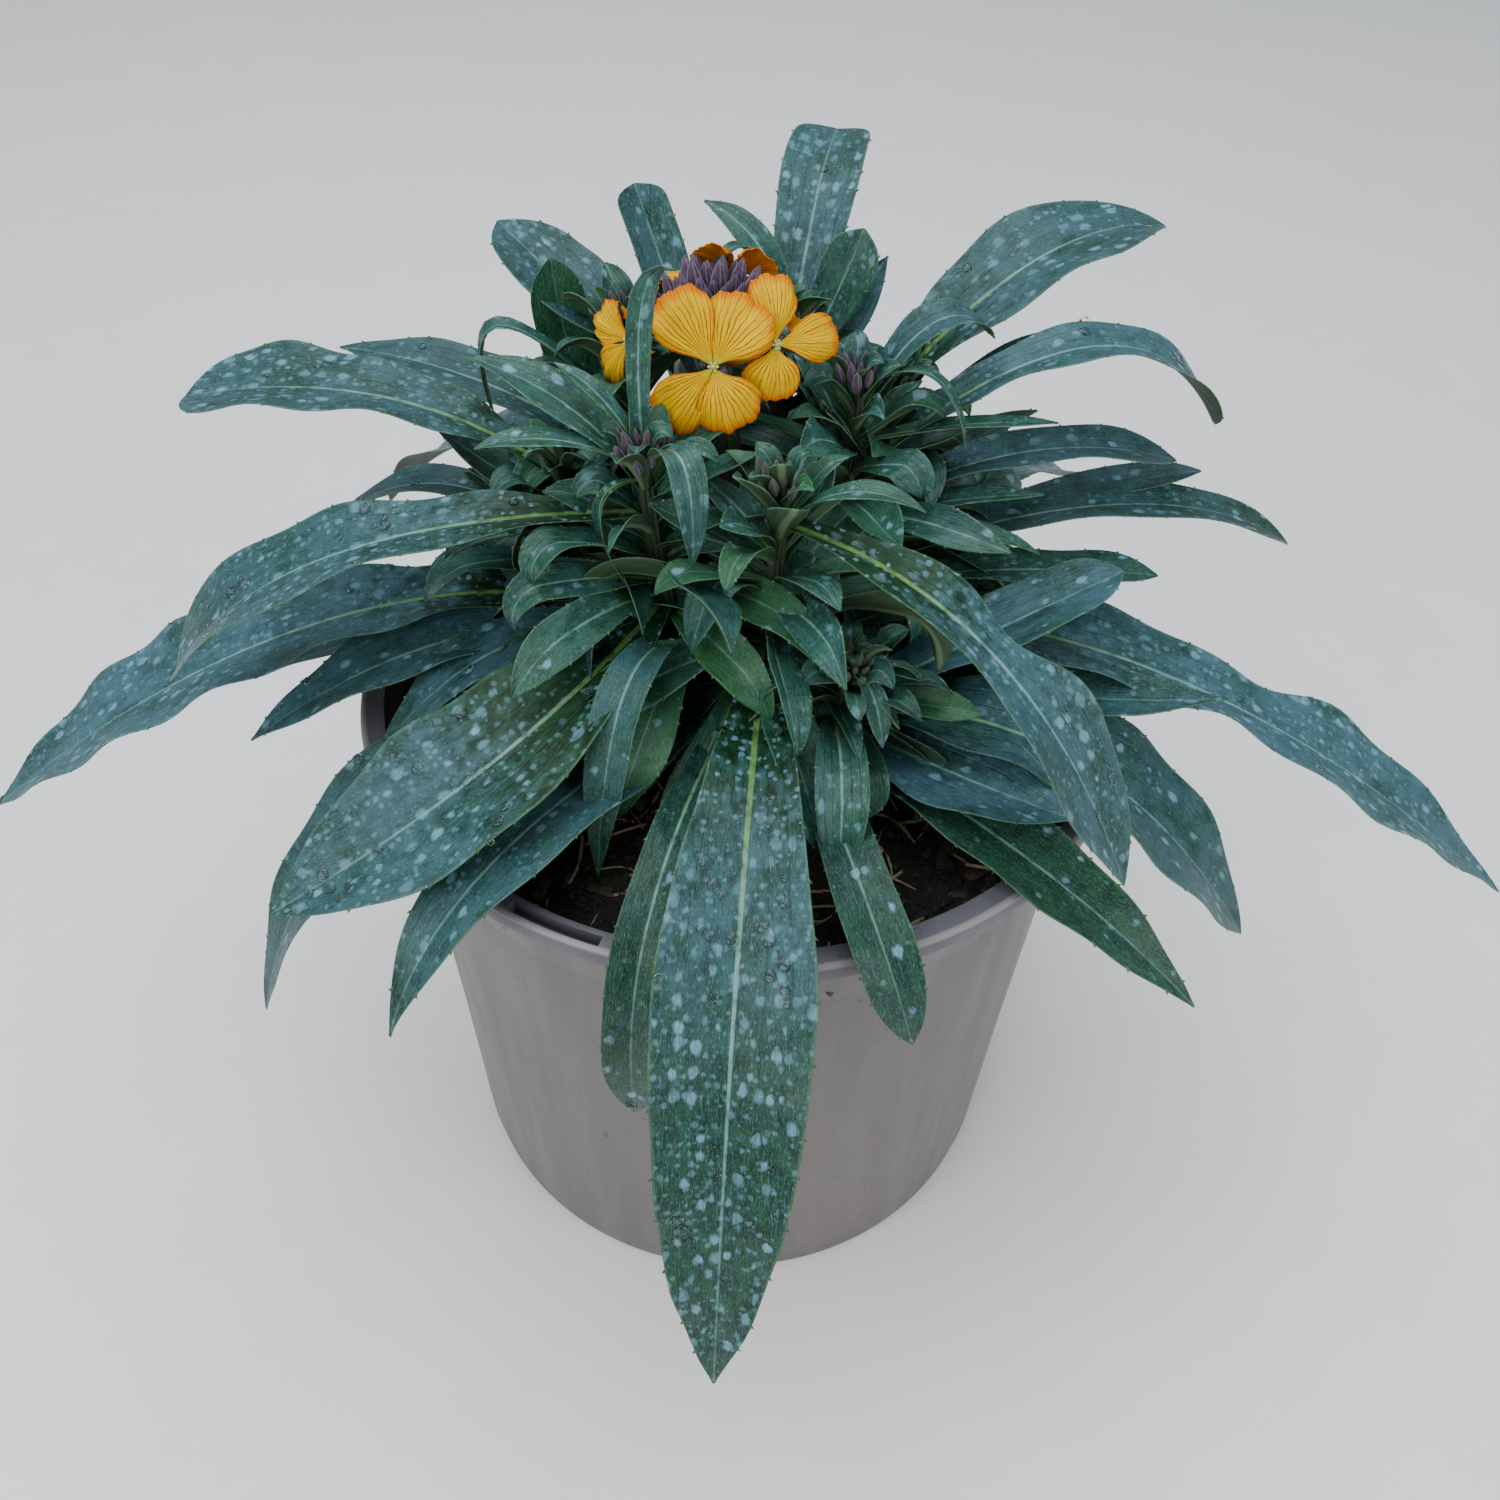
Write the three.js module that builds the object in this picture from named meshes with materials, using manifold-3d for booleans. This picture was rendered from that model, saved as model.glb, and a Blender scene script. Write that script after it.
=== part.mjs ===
// A wallflower in a plastic nursery pot, in millimetres, +Z up.
// The origin is the middle of the pot's flat underside, and -Y is the front.
// Every leaf is a blade on a curved midrib that springs from one of the shoots.
import * as THREE from 'three';
import { mergeVertices } from 'three/addons/utils/BufferGeometryUtils.js';
import Module from 'manifold-3d';

const wasm = await Module();
wasm.setup();

// Driving sizes of the pot and its compost
const POT_HEIGHT = 160;
const BASE_RADIUS = 77;
const BODY_RADIUS = 86.5;
const NECK_RADIUS = 90.5;
const LIP_RADIUS = 95;
const LIP_INSIDE = 89;
const LIP_DEPTH = 5;
const NECK_DEPTH = 22;
const FOOT_RIDGE_HEIGHT = 7;
const FOOT_RIDGE = 0.6;
const WALL = 1.7;
const FLOOR = 2.5;
const ROUND_SEGMENTS = 40;
const HOLE_COUNT = 6;
const HOLE_RADIUS = 4.5;
const HOLE_CIRCLE = 60;
const SLOT_ANGLES = [245, 5, 125];
const SLOT_SPAN = 14;
const SLOT_RADIUS = 92.2;
const SLOT_WIDTH = 2.8;
const SLOT_DEPTH = 3.4;
const COMPOST_TOP = 150;
const COMPOST_BUMP = 1.5;

// Clearance between neighbours, and how finely the plant is stepped
const GAP = 0.3;
const LONG_STEPS = 8;
const SHORT_STEPS = 4;
const TINY_STEPS = 3;
const STEM_STEPS = 4;
const STEM_SIDES = 6;
const BOUGH_END = 0.5;
const CURL_START = 0.7;
const WAIST_LENGTH = 0.1;
const GOLDEN_ANGLE = 137.5;
const SEED = 11;

// Stems: root, elbow and tip of each axis, with its diameters at root and tip
const MAIN_STEM = {
  root: [0, 0, 150.3],
  elbow: [-1, 3, 200],
  tip: [-8, 12, 248],
  thick: 8.4,
  thin: 4.6,
  flare: 1.5,
};
const SHOOT_THICK = 6;
const SHOOT_THIN = 3.4;
const SHOOTS = {
  left_front: { root: [-3, -3, 164], elbow: [-20, -17, 178], tip: [-22, -20, 237] },
  front: { root: [1, -4, 160], elbow: [6, -26, 176], tip: [7, -28, 236] },
  front_right: { root: [4, -4, 157], elbow: [24, -30, 166], tip: [24, -40, 198] },
  right: { root: [4, 1, 166], elbow: [24, 6, 185], tip: [24, 12, 238] },
  left_back: { root: [-4, 3, 166], elbow: [-26, 20, 188], tip: [-28, 24, 245] },
  left: { root: [-5, 0, 158], elbow: [-40, 4, 172], tip: [-44, 5, 218] },
  back: { root: [0, 4, 162], elbow: [6, 38, 180], tip: [8, 40, 238] },
  right_back: { root: [4, 3, 158], elbow: [34, 28, 172], tip: [34, 30, 228] },
};

// A leaf stands on a shoot, at a share of its height, and points along a compass
// heading from +X. Its tip lies reach out and tip up from its foot, and its midrib
// is drawn towards a point that lies bow out and crest up.
const LEAF_HABIT = {
  peak: 0.58, foot: 0.17, cup: 12, swing: 0, roll: 0, twist: 0, curl: 0, waist: 0, waist_at: 0.5,
};
const leaf = (name, on, at, heading, sizes) => ({ name, on, at, heading, ...LEAF_HABIT, ...sizes });

const FRONT_LEAVES = [
  leaf('leaf_front', 'front', 0.45, -93, {
    reach: 126, tip: -105, bow: 100, crest: 15, wide: 34, peak: 0.55,
  }),
  leaf('leaf_front_left', 'left_front', 0.6, -118, {
    reach: 98, tip: -36, bow: 58, crest: -6, wide: 36, peak: 0.56, swing: -40,
  }),
  leaf('leaf_front_right', 'front', 0.92, -32, {
    reach: 90, tip: -58, bow: 58, crest: 6, wide: 26, peak: 0.7, waist: 0.4, waist_at: 0.48,
  }),
  leaf('leaf_front_hanging', 'left_front', 0.3, -109, {
    reach: 59, tip: -20, bow: 48, crest: 52, wide: 11,
  }),
  leaf('leaf_front_short', 'front_right', 0.2, -80, {
    reach: 87, tip: -22, bow: 87, crest: 30, wide: 13, swing: 13,
  }),
  leaf('leaf_front_tucked', 'front', 0.1, -104, { reach: 96, tip: -48, bow: 110, crest: 38, wide: 14 }),
  leaf('leaf_left_front_low', 'front', 0.15, -129, {
    reach: 119, tip: -21, bow: 100, crest: 26, wide: 25, peak: 0.5,
  }),
];
const LEFT_LEAVES = [
  leaf('leaf_left_low', 'left_front', 0.35, -152, { reach: 116, tip: -76, bow: 92, crest: 10, wide: 24 }),
  leaf('leaf_left_arch', 'left_front', 0.87, -173, {
    reach: 108, tip: -38, bow: 80, crest: 4, wide: 29, peak: 0.8,
  }),
  leaf('leaf_left_long', 'left', 0.5, -172, {
    reach: 162, tip: -56, bow: 70, crest: 22, wide: 37, peak: 0.66,
  }),
  leaf('leaf_left_upper', 'left', 0.97, 172, {
    reach: 88, tip: 10, bow: 35, crest: 26, wide: 29, peak: 0.7,
  }),
  leaf('leaf_left_behind', 'left_back', 0.6, 158, { reach: 86, tip: 15, bow: 38, crest: 22, wide: 20 }),
  leaf('leaf_left_mid', 'left', 0.3, -162, { reach: 99, tip: -10, bow: 45, crest: 26, wide: 22 }),
  leaf('leaf_left_inner', 'left', 0.2, -152, { reach: 76, tip: -2, bow: 38, crest: 38, wide: 18 }),
  leaf('leaf_left_narrow', 'left', 0.3, 178, { reach: 103, tip: -20, bow: 60, crest: 8, wide: 9 }),
  leaf('leaf_left_shaded', 'left', 0.6, 168, { reach: 66, tip: 7, bow: 30, crest: 38, wide: 13 }),
];
const BACK_LEAVES = [
  leaf('leaf_back_left', 'left_back', 0.93, 140, { reach: 43, tip: 17, bow: 15, crest: 6, wide: 23 }),
  leaf('leaf_back_upright', 'main', 0.7, 122, {
    reach: 44, tip: 48, bow: 22, crest: 24, wide: 13, peak: 0.84,
  }),
  leaf('leaf_back_spoon', 'left_back', 0.5, 152, {
    reach: 28, tip: 59, bow: 24, crest: 14, wide: 13, peak: 0.8, roll: -45,
  }),
  leaf('leaf_back_tall', 'back', 0.7, 78, {
    reach: 62, tip: 61, bow: 16, crest: 30, wide: 20, peak: 0.8, curl: 20,
  }),
  leaf('leaf_back_pale', 'back', 0.8, 40, { reach: 33, tip: 28, bow: 14, crest: 8, wide: 11, roll: 35 }),
  leaf('leaf_behind_right', 'right_back', 0.3, 45, { reach: 125, tip: -25, bow: 62, crest: 40, wide: 26 }),
  leaf('leaf_behind_mid_right', 'back', 0.3, 68, { reach: 120, tip: -35, bow: 60, crest: 45, wide: 28 }),
  leaf('leaf_behind_mid', 'back', 0.45, 100, { reach: 135, tip: -50, bow: 68, crest: 40, wide: 30 }),
  leaf('leaf_behind_mid_left', 'left_back', 0.3, 122, {
    reach: 120, tip: -45, bow: 60, crest: 42, wide: 27,
  }),
  leaf('leaf_behind_left', 'left_back', 0.4, 143, { reach: 108, tip: -35, bow: 55, crest: 35, wide: 26 }),
];
const RIGHT_LEAVES = [
  leaf('leaf_right_upper', 'right_back', 0.98, 28, {
    reach: 74, tip: 26, bow: 36, crest: 37, wide: 30, peak: 0.5,
  }),
  leaf('leaf_right_curled', 'right', 0.9, 20, { reach: 33, tip: 16, bow: 17, crest: 36, wide: 12 }),
  leaf('leaf_right_small', 'right_back', 0.7, 15, { reach: 43, tip: 40, bow: 15, crest: 30, wide: 9 }),
  leaf('leaf_right_arch', 'right', 0.75, 12, { reach: 91, tip: 6, bow: 62, crest: 56, wide: 17 }),
  leaf('leaf_right_mid', 'right', 0.6, 10, { reach: 83, tip: 12, bow: 40, crest: 28, wide: 15 }),
  leaf('leaf_right_straight', 'right_back', 0.4, 5, { reach: 88, tip: 31, bow: 40, crest: 26, wide: 12 }),
  leaf('leaf_right_long', 'right', 0.4, 8, { reach: 120, tip: 3, bow: 78, crest: 34, wide: 15 }),
  leaf('leaf_right_inner', 'front_right', 0.5, 14, {
    reach: 70, tip: 31, bow: 30, crest: 14, wide: 20, peak: 0.7,
  }),
  leaf('leaf_right_far', 'right', 0.25, -8, {
    reach: 191, tip: -66, bow: 86, crest: 22, wide: 36, peak: 0.62, waist: 0.4, waist_at: 0.54,
  }),
  leaf('leaf_right_low', 'right', 0.1, -18, { reach: 108, tip: 14, bow: 54, crest: -6, wide: 22 }),
  leaf('leaf_right_drooping', 'front_right', 0.3, -16, {
    reach: 115, tip: -41, bow: 66, crest: 32, wide: 34,
  }),
  leaf('leaf_right_broad', 'front_right', 0.5, -31, { reach: 64, tip: 0, bow: 30, crest: -3, wide: 30 }),
  leaf('leaf_right_front_low', 'front_right', 0.1, -50, {
    reach: 117, tip: -26, bow: 85, crest: 24, wide: 21, swing: 29,
  }),
];

// Short leaves that show by themselves among the tufts at the shoot tips
const SHORT_LEAVES = [
  leaf('strap_hooked', 'left_front', 0.95, -150, { reach: 3, tip: -32, bow: 21, crest: 6, wide: 5 }),
  leaf('short_left', 'left_front', 0.97, -172, { reach: 35, tip: 7, bow: 18, crest: 13, wide: 8 }),
  leaf('short_left_up', 'left_front', 0.99, 150, { reach: 22, tip: 16, bow: 8, crest: 14, wide: 5 }),
  leaf('glossy_left', 'left_front', 0.9, 160, { reach: 41, tip: 25, bow: 10, crest: 22, wide: 13 }),
  leaf('strap_upright', 'left_front', 0.88, 150, {
    reach: -7, tip: 59, bow: 6, crest: 60, wide: 7.5, roll: -60,
  }),
  leaf('arch_middle', 'right', 0.86, -150, { reach: -12, tip: -16, bow: 24, crest: 30, wide: 10 }),
  leaf('strap_inner', 'right', 0.55, -115, { reach: 38, tip: -10, bow: 20, crest: 10, wide: 8 }),
  leaf('hanging_middle', 'left_front', 0.98, -60, { reach: 22, tip: -12, bow: 24, crest: 28, wide: 8 }),
  leaf('inner_broad', 'front', 0.55, -140, { reach: 22, tip: 6, bow: 14, crest: 42, wide: 12 }),
  leaf('inner_left', 'left_front', 0.5, -165, { reach: 38, tip: 8, bow: 16, crest: 24, wide: 8 }),
  leaf('short_right', 'front', 0.9, -20, { reach: 31, tip: 13, bow: 12, crest: 20, wide: 7 }),
  leaf('fresh_low', 'front', 0.52, -52, { reach: 30, tip: -22, bow: 14, crest: 4, wide: 8 }),
  leaf('hanging_right', 'front_right', 0.6, -88, { reach: 41, tip: -17, bow: 40, crest: 24, wide: 12 }),
  leaf('tuft_side', 'front_right', 0.97, -10, { reach: 16, tip: 0, bow: 8, crest: 5, wide: 5 }),
  leaf('tuft_front', 'front_right', 0.98, -60, { reach: 14, tip: -12, bow: 10, crest: 4, wide: 6 }),
  leaf('thin_arch_right', 'right', 0.98, -15, { reach: 26, tip: -11, bow: 20, crest: 18, wide: 4 }),
  leaf('short_right_mid', 'right', 0.6, -2, { reach: 48, tip: 12, bow: 20, crest: 10, wide: 8 }),
  leaf('round_right', 'right', 0.52, -12, { reach: 50, tip: 8, bow: 26, crest: 18, wide: 9 }),
  leaf('far_tip_right', 'right', 0.85, -3, { reach: 46, tip: 8, bow: 24, crest: 8, wide: 6 }),
  leaf('thin_arch_left', 'left_back', 0.75, -175, { reach: 34, tip: 2, bow: 44, crest: 52, wide: 6 }),
  leaf('pale_behind', 'right_back', 0.7, 6, { reach: 38, tip: 22, bow: 16, crest: 12, wide: 13 }),
  leaf('back_inner', 'back', 0.85, 40, {
    reach: 24, tip: 32, bow: 12, crest: 6, wide: 13, peak: 0.75, roll: 35,
  }),
  leaf('back_curl', 'back', 0.98, 147, { reach: 24, tip: 24, bow: 4, crest: 22, wide: 8, roll: -30 }),
  leaf('dark_round_left', 'left', 0.9, 165, { reach: 31, tip: 13, bow: 12, crest: 0, wide: 12 }),
  leaf('dark_low_left', 'left', 0.52, -178, { reach: 56, tip: -14, bow: 25, crest: -2, wide: 9 }),
  leaf('back_loop', 'back', 0.95, 175, { reach: 22, tip: 12, bow: 12, crest: 34, wide: 6 }),
  leaf('round_far', 'right', 0.35, 0, { reach: 84, tip: 8, bow: 40, crest: 12, wide: 14, peak: 0.75 }),
];

// Tufts of young leaves: how many each shoot tip carries, and their sizes from the heart outwards
const TUFT_COUNT = 18;
const TUFT_TRIES = 7;
const TUFT_LENGTH = [16, 74];
const TUFT_RISE = [78, 8];
const TUFT_DROOP = [10, 45];
const TUFT_WIDTH_SHARE = 0.2;
const TUFT_FOOT = [0.97, 0.53];
const TUFT_BUDS = 3;
const BUD_LENGTH = 7;
const BUD_WIDTH = 4;

// Flower head: a dome of buds, and open flowers that stand round it
const DOME_CENTRE = [-9, 13, 257];
const DOME_RADIUS = 10;
const DOME_HEIGHT = 8;
const DOME_BUDS = 7;
const PETAL_LENGTH = 16;
const PETAL_WIDTH = 14;
const PETAL_THICKNESS = 0.8;
const FLOWERS = [
  { at: [-9, -3, 249], heading: -92, rise: 38, turn: 45 },
  { at: [5, 2, 252], heading: -50, rise: 40, turn: 30 },
  { at: [-27, 5, 255], heading: -165, rise: 35, turn: 50 },
  { at: [-4, 28, 258], heading: 75, rise: 40, turn: 45 },
  { at: [11, 13, 256], heading: 5, rise: 35, turn: 40 },
  { at: [-22, 24, 257], heading: 135, rise: 40, turn: 45 },
];

const COLOURS = {
  pot: ['#7a7475', 0.55],
  compost: ['#1d1612', 0.95],
  stem: ['#4c5a43', 0.7],
  leaf: ['#2f4f45', 0.55],
  tuft: ['#33523a', 0.55],
  flower: ['#f2a60c', 0.6],
};

// Small helpers: seeded draws, interpolation and directions
let drawState = SEED;
function draw() {
  drawState = (drawState * 1664525 + 1013904223) % 4294967296;
  return drawState / 4294967296;
}
const between = (range, share) => range[0] + (range[1] - range[0]) * share;
const radians = THREE.MathUtils.degToRad;
const UP = new THREE.Vector3(0, 0, 1);

function compass(heading) {
  const angle = radians(heading);
  return new THREE.Vector3(Math.cos(angle), Math.sin(angle), 0);
}

// Solids: a closed skin over rings of equal count, and its exchange with the cutter
function loft(rings) {
  const count = rings[0].length;
  const position = rings.flat().flatMap((point) => point.toArray());
  const index = [];
  for (let ring = 0; ring < rings.length - 1; ring += 1) {
    for (let side = 0; side < count; side += 1) {
      const next = (side + 1) % count;
      const here = ring * count;
      const there = here + count;
      index.push(here + side, here + next, there + next);
      index.push(here + side, there + next, there + side);
    }
  }
  const last = (rings.length - 1) * count;
  for (let side = 1; side < count - 1; side += 1) {
    index.push(0, side + 1, side);
    index.push(last, last + side, last + side + 1);
  }
  const geometry = new THREE.BufferGeometry();
  geometry.setAttribute('position', new THREE.Float32BufferAttribute(position, 3));
  geometry.setIndex(index);
  if (signedVolume(geometry) < 0) {
    geometry.setIndex(index.reverse());
  }
  return geometry;
}

function signedVolume(geometry) {
  const points = geometry.attributes.position;
  const index = geometry.index.array;
  const corners = [new THREE.Vector3(), new THREE.Vector3(), new THREE.Vector3()];
  let volume = 0;
  for (let i = 0; i < index.length; i += 3) {
    corners.forEach((corner, k) => corner.fromBufferAttribute(points, index[i + k]));
    volume += corners[0].dot(corners[1].clone().cross(corners[2])) / 6;
  }
  return volume;
}

function solidOf(geometry) {
  const bare = geometry.clone();
  bare.deleteAttribute('normal');
  bare.deleteAttribute('uv');
  const merged = mergeVertices(bare, 1e-4);
  const vertProperties = new Float32Array(merged.attributes.position.array);
  const triVerts = new Uint32Array(merged.index.array);
  return new wasm.Manifold(new wasm.Mesh({ numProp: 3, vertProperties, triVerts }));
}

function geometryOf(solid) {
  const mesh = solid.getMesh();
  const geometry = new THREE.BufferGeometry();
  geometry.setAttribute('position', new THREE.BufferAttribute(new Float32Array(mesh.vertProperties), 3));
  geometry.setIndex(new THREE.BufferAttribute(new Uint32Array(mesh.triVerts), 1));
  return geometry;
}

// The largest of the closed shells in a geometry: scraps that a cut leaves are dropped
function largestShell(geometry) {
  const index = Array.from(geometry.index.array);
  const parent = Array.from({ length: geometry.attributes.position.count }, (unused, i) => i);
  const rootOf = (i) => {
    let root = i;
    while (parent[root] !== root) {
      root = parent[root];
    }
    parent[i] = root;
    return root;
  };
  for (let i = 0; i < index.length; i += 3) {
    parent[rootOf(index[i])] = rootOf(index[i + 1]);
    parent[rootOf(index[i + 1])] = rootOf(index[i + 2]);
  }
  const shells = new Map();
  for (let i = 0; i < index.length; i += 3) {
    const root = rootOf(index[i]);
    if (!shells.has(root)) {
      shells.set(root, []);
    }
    shells.get(root).push(index[i], index[i + 1], index[i + 2]);
  }
  const pieces = [...shells.values()].map((corners) => {
    const piece = new THREE.BufferGeometry();
    piece.setAttribute('position', geometry.attributes.position);
    piece.setIndex(corners);
    return piece;
  });
  pieces.sort((a, b) => signedVolume(b) - signedVolume(a));
  return pieces[0].toNonIndexed();
}

// The plant's midribs and stems
class Midrib extends THREE.Curve {
  constructor(foot, spec) {
    super();
    this.ahead = compass(spec.heading);
    this.side = UP.clone().cross(this.ahead);
    this.curl = radians(spec.curl);
    const reachOf = (out, up) => foot.clone().addScaledVector(this.ahead, out).addScaledVector(UP, up);
    const tip = reachOf(spec.reach, spec.tip).addScaledVector(this.side, spec.swing);
    this.arc = new THREE.QuadraticBezierCurve3(foot, reachOf(spec.bow, spec.crest), tip);
  }

  getPoint(t) {
    const point = this.arc.getPoint(t);
    if (this.curl === 0 || t <= CURL_START) {
      return point;
    }
    const pivot = this.arc.getPoint(CURL_START);
    const angle = this.curl * (t - CURL_START) / (1 - CURL_START);
    return point.sub(pivot).applyAxisAngle(this.side, angle).add(pivot);
  }
}

function stemAxis(stem) {
  const [root, elbow, tip] = [stem.root, stem.elbow, stem.tip].map((point) => new THREE.Vector3(...point));
  return new THREE.QuadraticBezierCurve3(root, elbow, tip);
}

function stemGeometry(stem, from, to, margin) {
  const axis = stemAxis(stem);
  const thick = stem.thick ?? SHOOT_THICK;
  const thin = stem.thin ?? SHOOT_THIN;
  const flare = stem.flare ?? 0;
  const rings = [];
  for (let step = 0; step <= STEM_STEPS; step += 1) {
    const share = from + (to - from) * step / STEM_STEPS;
    const centre = axis.getPoint(share);
    const along = flare > 0 && step === 0 ? UP.clone() : axis.getTangent(share);
    const across = new THREE.Vector3(1, 0, 0).cross(along).normalize();
    const around = along.clone().cross(across);
    const radius = (thick + (thin - thick) * share) / 2 + flare * Math.exp(-share * 12) + margin;
    const ring = [];
    for (let side = 0; side < STEM_SIDES; side += 1) {
      const angle = 2 * Math.PI * side / STEM_SIDES;
      const spoke = across.clone().multiplyScalar(Math.cos(angle)).addScaledVector(around, Math.sin(angle));
      ring.push(centre.clone().addScaledVector(spoke, radius));
    }
    rings.push(ring);
  }
  return loft(rings);
}

const ALL_STEMS = { main: MAIN_STEM, ...SHOOTS };
const footOf = (spec) => stemAxis(ALL_STEMS[spec.on]).getPoint(spec.at);

// Share of the full width at a share of the length: a narrow foot, a broad blade and a point,
// and on a twisted leaf a waist between two lobes
function leafOutline(share, spec) {
  const narrowed = 1 - spec.waist * Math.exp(-(((share - spec.waist_at) / WAIST_LENGTH) ** 2));
  if (share < spec.peak) {
    return narrowed * (spec.foot + (1 - spec.foot) * Math.sin(Math.PI / 2 * share / spec.peak) ** 1.25);
  }
  return narrowed * (1 - ((share - spec.peak) / (1 - spec.peak)) ** 2);
}

// The frames of a blade: middle, half width vector and upright vector at each step
function bladeFrames(midrib, spec, steps, outline) {
  const frames = [];
  for (let step = 0; step <= steps; step += 1) {
    const share = step / steps;
    const along = midrib.getTangentAt(share);
    const side = midrib.side.clone().addScaledVector(along, -midrib.side.dot(along)).normalize();
    const turn = radians(spec.roll + spec.twist * share);
    side.applyAxisAngle(along, turn);
    const upright = along.clone().cross(side);
    const half = Math.max(0.35, spec.wide / 2 * outline(share, spec));
    frames.push({ middle: midrib.getPointAt(share), along, side, upright, half });
  }
  return frames;
}

// A long leaf's section is a flat diamond cupped upwards, thickest at the midrib.
// A short leaf has a flat top and only its keel below.
function leafGeometry(spec, steps, thickness, keelOnly = false) {
  const midrib = new Midrib(footOf(spec), spec);
  const lift = Math.sin(radians(spec.cup));
  const spread = Math.cos(radians(spec.cup));
  const rings = bladeFrames(midrib, spec, steps, leafOutline).map((frame) => {
    const { middle, side, upright, half } = frame;
    const at = (out, up) => middle.clone()
      .addScaledVector(side, out * half * spread)
      .addScaledVector(upright, Math.abs(out) * half * lift + up);
    const body = Math.min(thickness, half * 1.2) / 2;
    return keelOnly
      ? [at(1, 0), at(-1, 0), at(0, -body)]
      : [at(1, 0), at(0, body), at(-1, 0), at(0, -body)];
  });
  return loft(rings);
}

// The room a leaf needs: the same blade with the gap all round it
function leafRoom(spec, steps, thickness, gap) {
  const midrib = new Midrib(footOf(spec), spec);
  const lift = Math.sin(radians(spec.cup));
  const spread = Math.cos(radians(spec.cup));
  const rings = bladeFrames(midrib, spec, steps, leafOutline).map((frame, step) => {
    const { middle, along, side, upright, half } = frame;
    const body = Math.min(thickness, half * 1.2) / 2 + gap;
    const beyond = (step === steps ? gap : 0) - (step === 0 ? gap : 0);
    const at = (out, up) => middle.clone()
      .addScaledVector(along, beyond)
      .addScaledVector(side, out * spread)
      .addScaledVector(upright, Math.abs(out) * lift + up);
    const reach = half + gap;
    return [at(reach, gap), at(0, body), at(-reach, gap), at(-reach, -gap), at(0, -body), at(reach, -gap)];
  });
  return loft(rings);
}

// Thickness at the midrib, more than a hundredth of the leaf's length
const thicknessOf = (spec) => Math.max(0.9, new Midrib(footOf(spec), spec).getLength() * 0.011);

// A small bud: six sides, pointed at both ends
function budGeometry(centre, axis, length, width) {
  const geometry = new THREE.SphereGeometry(0.5, 5, 3);
  geometry.scale(width, length, width);
  const lengthwise = new THREE.Vector3(0, 1, 0);
  geometry.applyQuaternion(new THREE.Quaternion().setFromUnitVectors(lengthwise, axis.clone().normalize()));
  return geometry.translate(centre.x, centre.y, centre.z);
}

function joined(geometries) {
  return geometries.map(solidOf).reduce((whole, piece) => whole.add(piece));
}

// Pot: one wall turned about its axis, with drain holes and three slots in the lip
function wallRadius(height) {
  const neck = POT_HEIGHT - NECK_DEPTH;
  if (height < neck) {
    return BASE_RADIUS + (BODY_RADIUS - BASE_RADIUS) * height / neck;
  }
  return BODY_RADIUS + (NECK_RADIUS - BODY_RADIUS) * (height - neck) / (NECK_DEPTH - LIP_DEPTH);
}

function turned(profile) {
  const points = profile.map(([radius, height]) => new THREE.Vector2(radius, height));
  return new THREE.LatheGeometry(points, ROUND_SEGMENTS).rotateX(Math.PI / 2);
}

function potGeometry() {
  const neck = POT_HEIGHT - NECK_DEPTH;
  const skirt = POT_HEIGHT - LIP_DEPTH;
  const wall = solidOf(turned([
    [0, 0],
    [BASE_RADIUS - 2, 0],
    [BASE_RADIUS, 2],
    [wallRadius(FOOT_RIDGE_HEIGHT), FOOT_RIDGE_HEIGHT],
    [wallRadius(FOOT_RIDGE_HEIGHT) + FOOT_RIDGE, FOOT_RIDGE_HEIGHT + 1],
    [BODY_RADIUS, neck],
    [NECK_RADIUS, skirt],
    [LIP_RADIUS - 1, skirt],
    [LIP_RADIUS, POT_HEIGHT - 0.8],
    [LIP_RADIUS - 0.8, POT_HEIGHT],
    [LIP_INSIDE, POT_HEIGHT],
    [wallRadius(skirt) - WALL, skirt],
    [BODY_RADIUS - WALL, neck],
    [wallRadius(FLOOR) - WALL, FLOOR],
    [0, FLOOR],
  ]));
  const cuts = [];
  for (let i = 0; i < HOLE_COUNT; i += 1) {
    const middle = compass(360 * (i + 0.5) / HOLE_COUNT).multiplyScalar(HOLE_CIRCLE);
    const hole = new THREE.CylinderGeometry(HOLE_RADIUS, HOLE_RADIUS, 4 * FLOOR, 10).rotateX(Math.PI / 2);
    cuts.push(hole.translate(middle.x, middle.y, FLOOR / 2));
  }
  SLOT_ANGLES.forEach((angle) => cuts.push(slotGeometry(angle)));
  return geometryOf(cuts.map(solidOf).reduce((pot, cut) => pot.subtract(cut), wall));
}

// A round-ended slot that follows the lip
function slotGeometry(angle) {
  const half = radians(SLOT_SPAN) / 2;
  const centre = radians(angle);
  const [first, last] = [centre - half, centre + half];
  const end = (bearing) => [SLOT_RADIUS * Math.cos(bearing), SLOT_RADIUS * Math.sin(bearing)];
  const shape = new THREE.Shape();
  shape.absarc(0, 0, SLOT_RADIUS + SLOT_WIDTH / 2, first, last, false);
  shape.absarc(...end(last), SLOT_WIDTH / 2, last, last + Math.PI, false);
  shape.absarc(0, 0, SLOT_RADIUS - SLOT_WIDTH / 2, last, first, true);
  shape.absarc(...end(first), SLOT_WIDTH / 2, first + Math.PI, first + 2 * Math.PI, false);
  const sweep = { depth: 2 * SLOT_DEPTH, bevelEnabled: false, curveSegments: 3 };
  const cut = new THREE.ExtrudeGeometry(shape, sweep);
  return cut.translate(0, 0, POT_HEIGHT - SLOT_DEPTH);
}

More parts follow.
